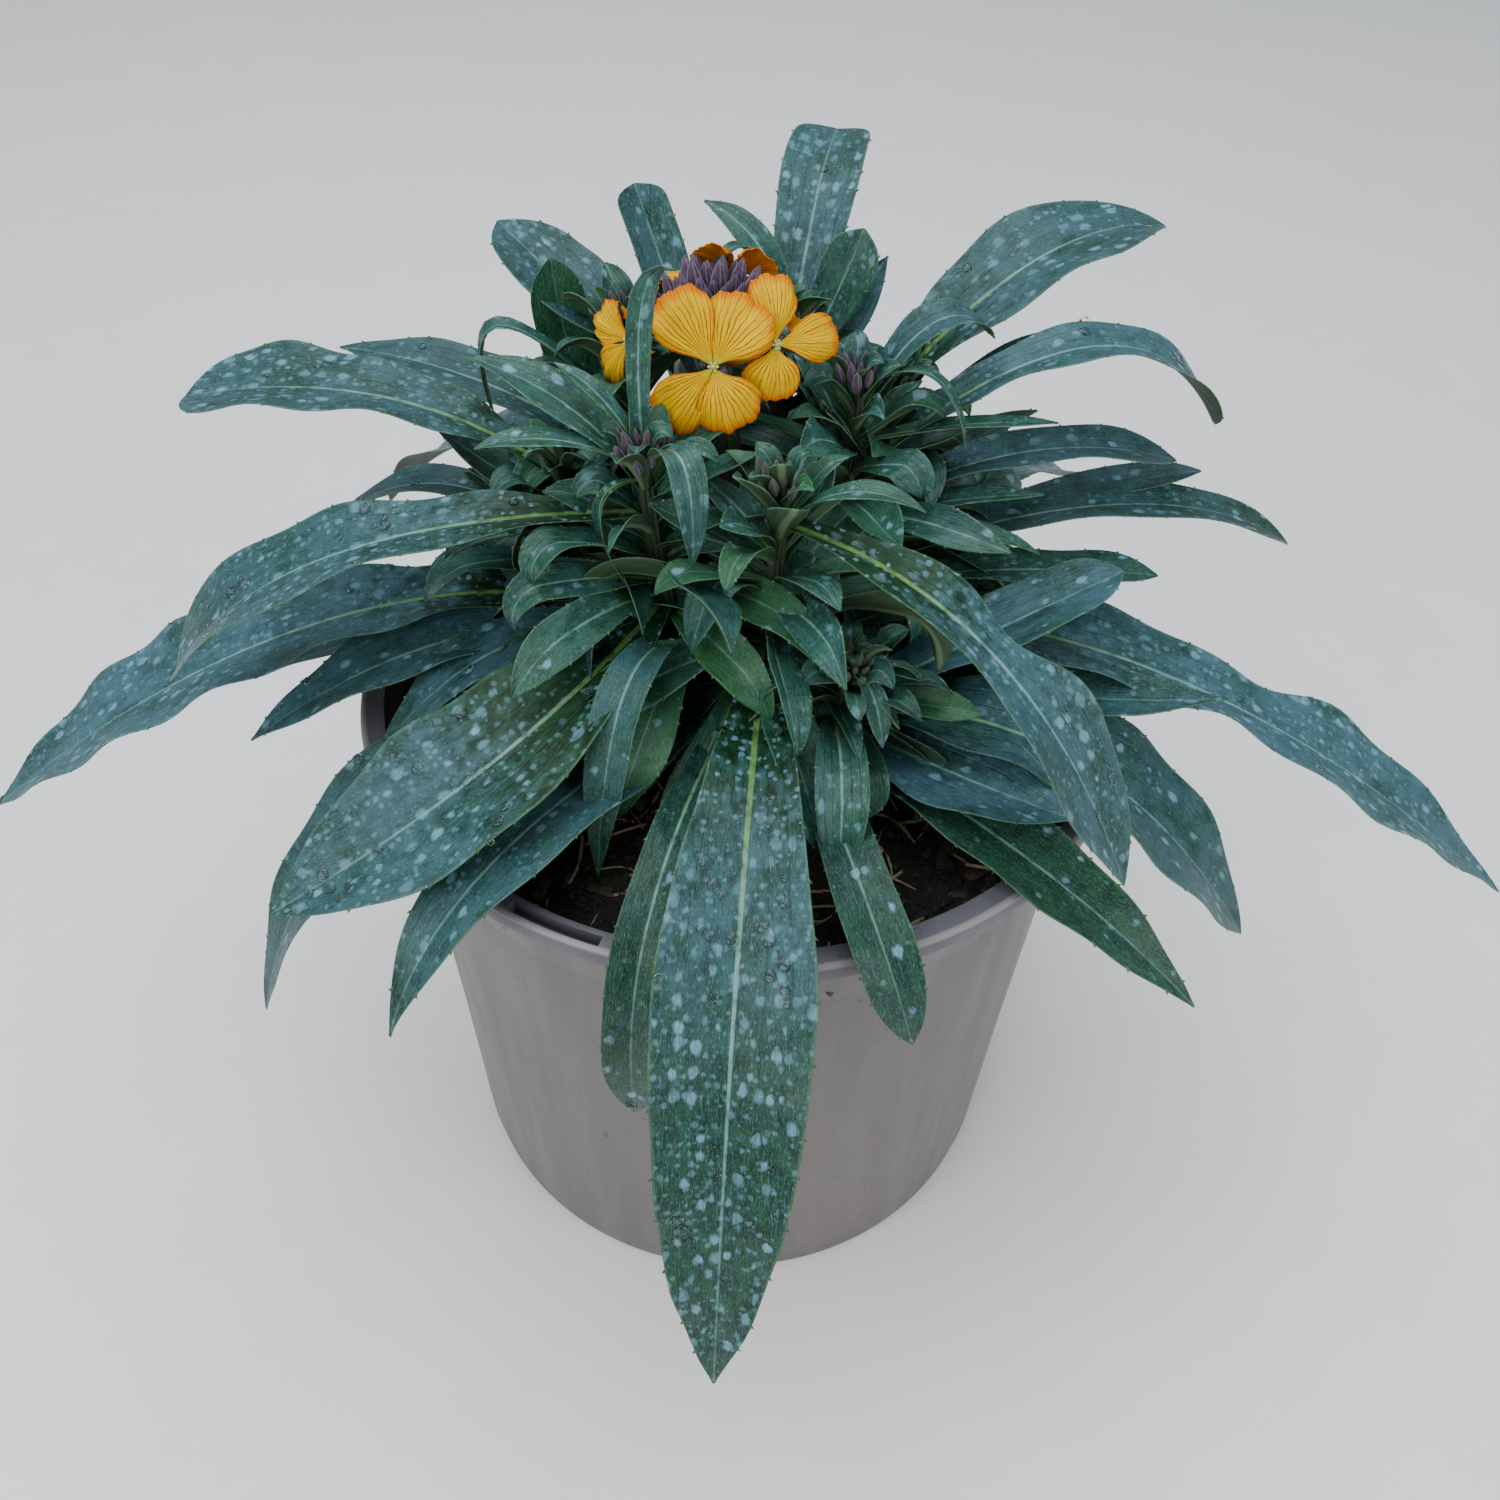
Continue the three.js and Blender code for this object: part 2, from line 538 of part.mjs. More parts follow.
// Compost: fills the pot, with an uneven top that is level round the stem
function compostGeometry() {
  const inside = (height) => wallRadius(height) - WALL - GAP;
  const neck = POT_HEIGHT - NECK_DEPTH;
  const edge = inside(COMPOST_TOP) - 0.2;
  const geometry = turned([
    [0, FLOOR + GAP],
    [inside(FLOOR + GAP) - 0.2, FLOOR + GAP],
    [inside(neck) - 0.2, neck],
    [edge, COMPOST_TOP - 1],
    [edge * 0.75, COMPOST_TOP],
    [edge * 0.45, COMPOST_TOP],
    [edge * 0.15, COMPOST_TOP],
    [0, COMPOST_TOP],
  ]);
  const merged = solidOf(geometry).getMesh();
  const points = new Float32Array(merged.vertProperties);
  for (let i = 0; i < points.length; i += 3) {
    const radius = Math.hypot(points[i], points[i + 1]);
    if (points[i + 2] > COMPOST_TOP - 0.5 && radius > edge * 0.2) {
      points[i + 2] += COMPOST_BUMP * (draw() - 0.7);
    }
  }
  const uneven = new THREE.BufferGeometry();
  uneven.setAttribute('position', new THREE.BufferAttribute(points, 3));
  uneven.setIndex(new THREE.BufferAttribute(new Uint32Array(merged.triVerts), 1));
  return uneven;
}

// Petals: blades with a narrow claw and a broad round end
const petalOutline = (share) => (share < 0.62
  ? 0.08 + 0.92 * Math.sin(Math.PI / 2 * share / 0.62)
  : Math.sqrt(Math.max(0.03, 1 - ((share - 0.62) / 0.38) ** 2.4)));

function petalGeometry(flower, quarter, margin) {
  const face = compass(flower.heading).multiplyScalar(Math.cos(radians(flower.rise)));
  face.addScaledVector(UP, Math.sin(radians(flower.rise)));
  const level = UP.clone().cross(face).normalize();
  const ahead = level.clone().applyAxisAngle(face, radians(flower.turn + 90 * quarter));
  const side = face.clone().cross(ahead);
  const centre = new THREE.Vector3(...flower.at);
  const foot = centre.clone().addScaledVector(ahead, 0.8).addScaledVector(face, -0.4);
  const tip = centre.clone().addScaledVector(ahead, PETAL_LENGTH).addScaledVector(face, -1);
  const bow = centre.clone().addScaledVector(ahead, PETAL_LENGTH * 0.5).addScaledVector(face, 2);
  const curve = new THREE.QuadraticBezierCurve3(foot, bow, tip);
  curve.side = side;
  const spec = { roll: 5, twist: 0, wide: PETAL_WIDTH };
  const rings = bladeFrames(curve, spec, TINY_STEPS, petalOutline).map((frame) => {
    const at = (out, up) => frame.middle.clone()
      .addScaledVector(frame.side, out)
      .addScaledVector(frame.upright, up);
    const reach = frame.half + margin;
    const keel = at(0, -PETAL_THICKNESS - margin);
    return margin > 0
      ? [at(reach, margin), at(-reach, margin), at(-reach, -margin), keel, at(reach, -margin)]
      : [at(reach, 0), at(-reach, 0), keel];
  });
  return loft(rings);
}

function pedicel(from, to, radius) {
  const line = new THREE.LineCurve3(from, to);
  const section = new THREE.Shape();
  section.absarc(0, 0, radius, 0, 2 * Math.PI, false);
  const sweep = { steps: 1, curveSegments: 3, extrudePath: line, bevelEnabled: false };
  return new THREE.ExtrudeGeometry(section, sweep);
}

// The whole head, or with a margin the room that it needs
function flowerHead(margin) {
  const stalkAxis = stemAxis(MAIN_STEM).getTangent(1);
  const stalkFoot = new THREE.Vector3(...MAIN_STEM.tip).addScaledVector(stalkAxis, GAP);
  const centre = new THREE.Vector3(...DOME_CENTRE);
  const pieces = [pedicel(stalkFoot, centre, MAIN_STEM.thin / 2 + margin)];
  const bud = (middle, axis, length, width) => {
    pieces.push(budGeometry(middle, axis, length + 2 * margin, width + 2 * margin));
  };
  bud(centre, UP, DOME_HEIGHT * 1.4, DOME_RADIUS * 1.5);
  for (let i = 0; i < DOME_BUDS; i += 1) {
    const share = Math.sqrt((i + 0.5) / DOME_BUDS);
    const out = compass(i * GOLDEN_ANGLE).multiplyScalar(DOME_RADIUS * share * 0.75);
    const lift = DOME_HEIGHT * (1 - share * share) * 0.55;
    const axis = out.clone().multiplyScalar(0.12).addScaledVector(UP, 1);
    const middle = centre.clone().add(out).addScaledVector(UP, lift).addScaledVector(axis, 1.5);
    bud(middle, axis, BUD_LENGTH * 1.3, BUD_WIDTH * 1.2);
  }
  FLOWERS.forEach((flower) => {
    const middle = new THREE.Vector3(...flower.at);
    pieces.push(pedicel(centre, middle.clone().lerp(centre, 0.08), 1 + margin));
    bud(middle, middle.clone().sub(centre), 4, 3.4);
    for (let quarter = 0; quarter < 4; quarter += 1) {
      pieces.push(petalGeometry(flower, quarter, margin));
    }
  });
  return joined(pieces);
}

// Tufts: the stem goes on from its bough with short leaves and a few buds at its tip
function tuftLeaf(on, number, attempt) {
  const share = (number + 0.5) / TUFT_COUNT;
  const length = between(TUFT_LENGTH, share) * (0.85 + 0.3 * draw()) * (1 - 0.06 * attempt);
  const rise = radians(between(TUFT_RISE, share));
  const droop = radians(between(TUFT_DROOP, share));
  const heading = number * GOLDEN_ANGLE + attempt * 53 + 20 * draw();
  return leaf(`young_${number}`, on, between(TUFT_FOOT, share), heading, {
    reach: length * Math.cos(rise - droop / 2),
    tip: length * Math.sin(rise - droop / 2),
    bow: length / 2 * Math.cos(rise),
    crest: length / 2 * Math.sin(rise),
    wide: Math.max(3.6, length * TUFT_WIDTH_SHARE),
    foot: 0.2,
  });
}

function tuftBuds(on) {
  const axis = stemAxis(SHOOTS[on]);
  const tip = axis.getPoint(1);
  const along = axis.getTangent(1);
  const buds = [];
  for (let i = 0; i < TUFT_BUDS; i += 1) {
    const out = compass(i * GOLDEN_ANGLE).multiplyScalar(i === 0 ? 0 : BUD_WIDTH * 0.5);
    const middle = tip.clone().add(out).addScaledVector(along, i === 0 ? 2 : 0.8);
    buds.push(budGeometry(middle, along.clone().addScaledVector(out, 0.2), BUD_LENGTH, BUD_WIDTH));
  }
  return buds;
}

// Assembly: what is placed first keeps its shape, and what comes later keeps clear of it
const plant = new THREE.Group();
const placed = [];

function boxOf(solid) {
  const geometry = geometryOf(solid);
  geometry.computeBoundingBox();
  return geometry.boundingBox;
}

function place(name, geometry, look, rooms) {
  const [colour, roughness] = COLOURS[look];
  geometry.computeVertexNormals();
  const material = new THREE.MeshStandardMaterial({ color: colour, roughness, metalness: 0 });
  const mesh = new THREE.Mesh(geometry, material);
  mesh.name = name;
  plant.add(mesh);
  rooms.forEach((room) => placed.push({ name, room, box: boxOf(room) }));
}

const touches = (solid, room) => solid.intersect(room).getMesh().triVerts.length > 0;

function clearedOf(solid, neighbours) {
  const box = boxOf(solid);
  const near = neighbours.filter((other) => other.box.intersectsBox(box));
  return near.reduce((rest, other) => (touches(rest, other.room) ? rest.subtract(other.room) : rest), solid);
}

// The room of the pot and compost, so that no leaf cuts into the rim
function potRoom() {
  return solidOf(turned([
    [0, 0],
    [BASE_RADIUS + GAP, 0],
    [LIP_RADIUS + GAP, POT_HEIGHT - LIP_DEPTH - GAP],
    [LIP_RADIUS + GAP, POT_HEIGHT + GAP],
    [LIP_INSIDE - GAP, POT_HEIGHT + GAP],
    [LIP_INSIDE - GAP, COMPOST_TOP + 2 * GAP],
    [0, COMPOST_TOP + 2 * GAP],
  ]));
}

// The room round the buds that end a shoot
function budRoom(shoot) {
  const axis = stemAxis(shoot);
  const middle = axis.getPoint(1).addScaledVector(axis.getTangent(1), 1);
  return solidOf(budGeometry(middle, axis.getTangent(1), BUD_LENGTH * 1.7, BUD_WIDTH * 2.4));
}

place('pot', potGeometry(), 'pot', []);
place('compost', compostGeometry(), 'compost', []);

place('main_stem', stemGeometry(MAIN_STEM, 0, 1, 0), 'stem', [solidOf(stemGeometry(MAIN_STEM, 0, 1, GAP))]);
Object.entries(SHOOTS).forEach(([name, shoot]) => {
  const whole = solidOf(stemGeometry(shoot, 0, BOUGH_END, 0));
  const bough = largestShell(geometryOf(clearedOf(whole, placed)));
  const stretches = [[0, BOUGH_END], [BOUGH_END, 1]];
  const rooms = stretches.map(([from, to]) => solidOf(stemGeometry(shoot, from, to, GAP)));
  place(`shoot_${name}`, bough, 'stem', [...rooms, budRoom(shoot)]);
});
const pottedRoom = potRoom();
placed.push({ name: 'pot', room: pottedRoom, box: boxOf(pottedRoom) });

place('flower_head', geometryOf(flowerHead(0)), 'flower', [flowerHead(GAP)]);

[...FRONT_LEAVES, ...LEFT_LEAVES, ...BACK_LEAVES, ...RIGHT_LEAVES].forEach((spec) => {
  const thickness = thicknessOf(spec);
  const whole = solidOf(leafGeometry(spec, LONG_STEPS, thickness));
  const blade = largestShell(geometryOf(clearedOf(whole, placed)));
  place(spec.name, blade, 'leaf', [solidOf(leafRoom(spec, LONG_STEPS, thickness, GAP))]);
});

// Each tuft's leaf is tried at several headings, and left out where none is free
function isFree(spec, steps, others) {
  const room = solidOf(leafRoom(spec, steps, thicknessOf(spec), GAP));
  const box = boxOf(room);
  return others.every((other) => !other.box.intersectsBox(box) || !touches(room, other.room));
}

Object.entries(SHOOTS).forEach(([name, shoot]) => {
  const others = placed.filter((other) => other.name !== `shoot_${name}`);
  const pieces = [stemGeometry(shoot, BOUGH_END + GAP / 60, 1, 0), ...tuftBuds(name)];
  SHORT_LEAVES.filter((spec) => spec.on === name && isFree(spec, SHORT_STEPS, others)).forEach((spec) => {
    pieces.push(leafGeometry(spec, SHORT_STEPS, thicknessOf(spec), true));
  });
  for (let number = 0; number < TUFT_COUNT; number += 1) {
    for (let attempt = 0; attempt < TUFT_TRIES; attempt += 1) {
      const spec = tuftLeaf(name, number, attempt);
      if (isFree(spec, TINY_STEPS, others)) {
        pieces.push(leafGeometry(spec, TINY_STEPS, thicknessOf(spec), true));
        break;
      }
    }
  }
  const tuft = joined(pieces);
  place(`tuft_${name}`, largestShell(geometryOf(clearedOf(tuft, others))), 'tuft', [tuft]);
});

export default plant;
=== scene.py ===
"""Visual model of a potted wallflower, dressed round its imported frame.

Every blade follows the same rule as the part's source: a midrib that springs from a shoot, an
outline with a narrow foot, and a cupped section. Sizes are in millimetres until a mesh is made.
"""
import logging
import math
from dataclasses import dataclass, field
from enum import Enum
from functools import partialmethod

import bpy
import numpy as np
from mathutils import Matrix, Vector


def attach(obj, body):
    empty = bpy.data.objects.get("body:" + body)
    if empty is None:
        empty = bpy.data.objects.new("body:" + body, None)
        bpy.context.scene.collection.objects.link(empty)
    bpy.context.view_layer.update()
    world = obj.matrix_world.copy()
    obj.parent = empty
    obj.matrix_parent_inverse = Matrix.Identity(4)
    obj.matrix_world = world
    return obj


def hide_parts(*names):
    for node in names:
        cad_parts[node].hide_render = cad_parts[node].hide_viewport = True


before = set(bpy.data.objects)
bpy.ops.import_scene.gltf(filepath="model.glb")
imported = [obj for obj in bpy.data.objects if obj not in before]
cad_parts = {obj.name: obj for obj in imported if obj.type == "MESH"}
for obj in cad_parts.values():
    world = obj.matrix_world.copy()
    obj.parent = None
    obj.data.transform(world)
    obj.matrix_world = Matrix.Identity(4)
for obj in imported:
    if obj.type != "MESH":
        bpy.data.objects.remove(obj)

Array = np.ndarray
Draws = np.random.Generator
Material = bpy.types.Material
Socket = bpy.types.NodeSocket
Thing = bpy.types.Object

LOG = logging.getLogger("wallflower")
MM = 0.001
UNIT = 1000.0
GOLDEN_ANGLE = 137.5
BODY = "root"

POT_HEIGHT = 160.0
COMPOST_TOP = 150.0
WAIST_LENGTH = 0.1
STEM_RIDGES = 5
BUD_RIBS = 4


class Face(Enum):
    """Which finish a face of a blade takes."""

    TOP = 0
    UNDER = 1


class Spread(Enum):
    """What is strewn over the compost."""

    BARK = "bark"
    STRAW = "straw"
    GRIT = "grit"
    MOSS = "moss"


# Small vector helpers, kept as plain arrays


def vec(*values: float) -> Array:
    """Returns the numbers as a float array."""
    return np.array(values, dtype=float)


UP = vec(0, 0, 1)


def unit(v: Array) -> Array:
    """Scales vectors to length one.

    Args:
        v: One vector or rows of vectors.

    Returns:
        The same shape, each of length one.
    """
    return v / np.maximum(np.linalg.norm(v, axis=-1, keepdims=True), 1e-12)


def compass(heading: float) -> Array:
    """Returns the level direction at a heading in degrees from +X."""
    angle = math.radians(heading)
    return vec(math.cos(angle), math.sin(angle), 0.0)


def turned(v: Array, axis: Array, angle: Array) -> Array:
    """Turns rows of vectors about rows of axes.

    Args:
        v: Rows of vectors.
        axis: Rows of unit axes.
        angle: Radians, one for each row.

    Returns:
        The turned rows.
    """
    cos, sin = np.cos(angle)[:, None], np.sin(angle)[:, None]
    dot = (v * axis).sum(1, keepdims=True)
    return v * cos + np.cross(axis, v) * sin + axis * dot * (1 - cos)


def smooth(low: float, high: float, x: Array) -> Array:
    """Returns an S-shaped ramp from 0 at low to 1 at high."""
    t = np.clip((x - low) / (high - low), 0, 1)
    return t * t * (3 - 2 * t)


def curve(start: Array, elbow: Array, end: Array, t: Array) -> Array:
    """Returns points on the curve from start to end that is drawn towards elbow, at shares t."""
    return (1 - t) ** 2 * start + 2 * t * (1 - t) * elbow + t * t * end


# Objects and meshes from arrays


def linked(name: str, data: bpy.types.ID) -> Thing:
    """Returns a new object in the scene with a mesh, a lamp or a camera in it."""
    thing = bpy.data.objects.new(name, data)
    bpy.context.scene.collection.objects.link(thing)
    return thing


def places_of(mesh: bpy.types.Mesh) -> Array:
    """Returns a mesh's points as rows, in metres."""
    places = np.empty(len(mesh.vertices) * 3)
    mesh.vertices.foreach_get("co", places)
    return places.reshape(-1, 3)


def values_of(mesh: bpy.types.Mesh, name: str) -> Array:
    """Returns a number that a mesh carries for each of its points."""
    values = np.empty(len(mesh.vertices))
    mesh.attributes[name].data.foreach_get("value", values)
    return values


class Sheaf:
    """Gathers points and faces of many small shapes into one mesh."""

    def __init__(self) -> None:
        """Starts empty."""
        self.points: list[Array] = []
        self.faces: list[list[int]] = []
        self.slots: list[int] = []
        self.values: dict[str, list[Array]] = {}
        self.count = 0

    @classmethod
    def of(cls, points: Array, faces: list, **values: Array) -> "Sheaf":
        """Returns a sheaf with one shape in it."""
        sheaf = cls()
        sheaf.add(points, faces, **values)
        return sheaf

    def add(self, points: Array, faces: list, slot: int | list[int] = 0,
            **values: Array) -> None:
        """Adds one shape.

        Args:
            points: Rows of points in millimetres.
            faces: Lists of corner numbers within this shape.
            slot: Material slot of its faces, one number or one for each face.
            **values: Named numbers, one for each point.
        """
        self.points.append(points)
        self.faces.extend([[int(i) + self.count for i in face] for face in faces])
        self.slots.extend(slot if isinstance(slot, list) else [slot] * len(faces))
        for name, numbers in values.items():
            row = np.broadcast_to(np.asarray(numbers, dtype=float), (len(points),))
            self.values.setdefault(name, []).append(row)
        self.count += len(points)

    def build(self, name: str, materials: list, smooth_faces: bool = True) -> Thing:
        """Makes the object.

        Args:
            name: The piece's name.
            materials: Its materials in slot order.
            smooth_faces: Whether its faces are shaded smooth.

        Returns:
            The linked object, at the origin, in metres.
        """
        mesh = bpy.data.meshes.new(name)
        mesh.from_pydata((np.concatenate(self.points) * MM).tolist(), [], self.faces)
        mesh.polygons.foreach_set("material_index", np.array(self.slots, dtype=np.int32))
        mesh.polygons.foreach_set("use_smooth", np.full(len(self.faces), smooth_faces))
        for key, rows in self.values.items():
            layer = mesh.attributes.new(key, "FLOAT", "POINT")
            layer.data.foreach_set("value", np.concatenate(rows).astype(np.float32))
        mesh.update()
        thing = linked(name, mesh)
        for material in materials:
            mesh.materials.append(material)
        return thing


def seat(thing: Thing, slot: str, *nodes: str) -> Thing:
    """Rides a finished piece on the pot's body.

    Args:
        thing: The piece.
        slot: The record's material slot; not used.
        *nodes: The solids that it stands for.

    Returns:
        The same piece.
    """
    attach(thing, BODY)
    if nodes:
        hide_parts(*nodes)
    LOG.info("%s: %d faces", thing.name, len(thing.data.polygons))
    return thing


def tube(centres: Array, radii: Array, sides: int) -> tuple[Array, list, Array]:
    """Sweeps a round section along a line.

    Args:
        centres: Rows of points along the middle.
        radii: The radius at each.
        sides: Corners of the section.

    Returns:
        Points, faces and the angle of each point as a share of a turn.
    """
    along = unit(np.gradient(centres, axis=0))
    across = unit(np.cross(vec(1, 0.013, 0), along))
    around = np.cross(along, across)
    angle = 2 * math.pi * np.arange(sides) / sides
    ring = across[:, None] * np.cos(angle)[None, :, None]
    ring = ring + around[:, None] * np.sin(angle)[None, :, None]
    points = centres[:, None] + ring * radii[:, None, None]
    faces = []
    for i in range(len(centres) - 1):
        for j in range(sides):
            k = (j + 1) % sides
            faces.append([i * sides + j, i * sides + k, (i + 1) * sides + k, (i + 1) * sides + j])
    last = (len(centres) - 1) * sides
    faces.append(list(range(sides))[::-1])
    faces.append([last + j for j in range(sides)])
    return points.reshape(-1, 3), faces, np.tile(angle / (2 * math.pi), len(centres))


def two_sided(rows: int, cols: int) -> list:
    """Lists the faces that close a thin shape with an upper and a lower grid of points.

    Args:
        rows: Rows of each grid.
        cols: Points in each row.

    Returns:
        The upper grid's faces, then as many of the lower grid, then those of the edge.
    """
    grid = np.arange(rows * cols).reshape(rows, cols)
    off = rows * cols
    faces = [[grid[i, j], grid[i + 1, j], grid[i + 1, j + 1], grid[i, j + 1]]
             for i in range(rows - 1) for j in range(cols - 1)]
    faces += [[corner + off for corner in face[::-1]] for face in faces]
    rails = [((grid[i, -1], grid[i + 1, -1]), (grid[i, 0], grid[i + 1, 0])) for i in range(rows - 1)]
    rails += [((grid[0, j], grid[0, j + 1]), (grid[-1, j], grid[-1, j + 1])) for j in range(cols - 1)]
    for (a, b), (c, d) in rails:
        faces += [[a, b, b + off, a + off], [c + off, d + off, d, c]]
    return faces


def on_both(numbers: Array, rows: int, cols: int) -> Array:
    """Returns a number for each point of an upper and a lower grid, from rows, columns or both."""
    return np.tile(np.broadcast_to(numbers, (rows, cols)).reshape(-1), 2)


# Stems, as in the part's source


@dataclass(frozen=True)
class Stem:
    """A stem's middle line and thickness.

    The line is a curve from root to tip that is drawn towards elbow.
    """

    root: tuple
    elbow: tuple
    tip: tuple
    thick: float = 6.0
    thin: float = 3.4
    flare: float = 0.0

    def at(self, share: float | Array) -> Array:
        """Returns the point or points at a share of the line."""
        t = np.asarray(share, dtype=float)[..., None]
        return curve(vec(*self.root), vec(*self.elbow), vec(*self.tip), t)

    def along(self, share: float) -> Array:
        """Returns the direction of growth at a share of the line."""
        return unit(self.at(share + 0.01) - self.at(share - 0.01))


MAIN_STEM = Stem((0, 0, 150.3), (-1, 3, 200), (-8, 12, 248), 8.4, 4.6, 1.5)
SHOOTS = {
    "left_front": Stem((-3, -3, 164), (-20, -17, 178), (-22, -20, 237)),
    "front": Stem((1, -4, 160), (6, -26, 176), (7, -28, 236)),
    "front_right": Stem((4, -4, 157), (24, -30, 166), (24, -40, 198)),
    "right": Stem((4, 1, 166), (24, 6, 185), (24, 12, 238)),
    "left_back": Stem((-4, 3, 166), (-26, 20, 188), (-28, 24, 245)),
    "left": Stem((-5, 0, 158), (-40, 4, 172), (-44, 5, 218)),
    "back": Stem((0, 4, 162), (6, 38, 180), (8, 40, 238)),
    "right_back": Stem((4, 3, 158), (34, 28, 172), (34, 30, 228)),
}
ALL_STEMS = {"main": MAIN_STEM, **SHOOTS}


# Leaves, as in the part's source, with what only shows close by

MIDRIB_STEPS = 240
CURL_FROM = 168


@dataclass(frozen=True)
class Leaf:
    """One leaf on its shoot.

    Its tip lies reach out and tip up from its foot, which is on the shoot at a share of its
    height, and swing to its left. Its midrib is drawn towards a point that lies bow out and crest
    up, and curls in its last part. Its outline starts foot wide, is full at peak and may have a
    waist. Its section is cupped, rolled to one side and twisted on its way to the tip.

    The fields from waves on show in the picture only: how wavy, spotted and wet it is, how square
    its end, how far its wax film runs, how young its green, and how far up its dark foot reaches.
    """

    name: str
    on: str
    at: float
    heading: float
    reach: float
    tip: float
    bow: float
    crest: float
    wide: float
    peak: float = 0.58
    foot: float = 0.17
    cup: float = 12.0
    swing: float = 0.0
    roll: float = 0.0
    twist: float = 0.0
    curl: float = 0.0
    waist: float = 0.0
    waist_at: float = 0.5
    waves: float = 1.0
    spots: float = 0.5
    wet: float = 0.25
    square: float = 0.0
    film: float = 1.0
    young: float = 0.3
    dark: float = 0.24

    def midrib(self, shares: Array) -> Array:
        """Returns the midrib's points at shares of its length.

        Args:
            shares: Shares from foot to tip.

        Returns:
            Rows of points.
        """
        foot = ALL_STEMS[self.on].at(self.at)
        ahead = compass(self.heading)
        side = np.cross(UP, ahead)
        bow = foot + ahead * self.bow + UP * self.crest
        end = foot + ahead * self.reach + UP * self.tip + side * self.swing
        line = curve(foot, bow, end, np.linspace(0, 1, MIDRIB_STEPS + 1)[:, None])
        if self.curl:
            pivot = line[CURL_FROM]
            past = line[CURL_FROM:] - pivot
            angle = math.radians(self.curl) * np.linspace(0, 1, len(past))
            line[CURL_FROM:] = pivot + turned(past, np.tile(side, (len(past), 1)), angle)
        length = np.concatenate([[0], np.cumsum(np.linalg.norm(np.diff(line, axis=0), axis=1))])
        return np.stack([np.interp(shares * length[-1], length, line[:, k]) for k in range(3)], 1)

    def outline(self, share: Array) -> Array:
        """Finds how wide the blade is on its way to the tip.

        Args:
            share: Shares of the length.

        Returns:
            Shares of the full width.
        """
        grown = np.sin(math.pi / 2 * np.minimum(share / self.peak, 1)) ** 1.25
        low = self.foot + (1 - self.foot) * grown
        past = np.clip((share - self.peak) / (1 - self.peak), 0, 1)
        narrowed = 1 - self.waist * np.exp(-(((share - self.waist_at) / WAIST_LENGTH) ** 2))
        return np.where(share < self.peak, low, 1 - past ** (2 + self.square)) * narrowed


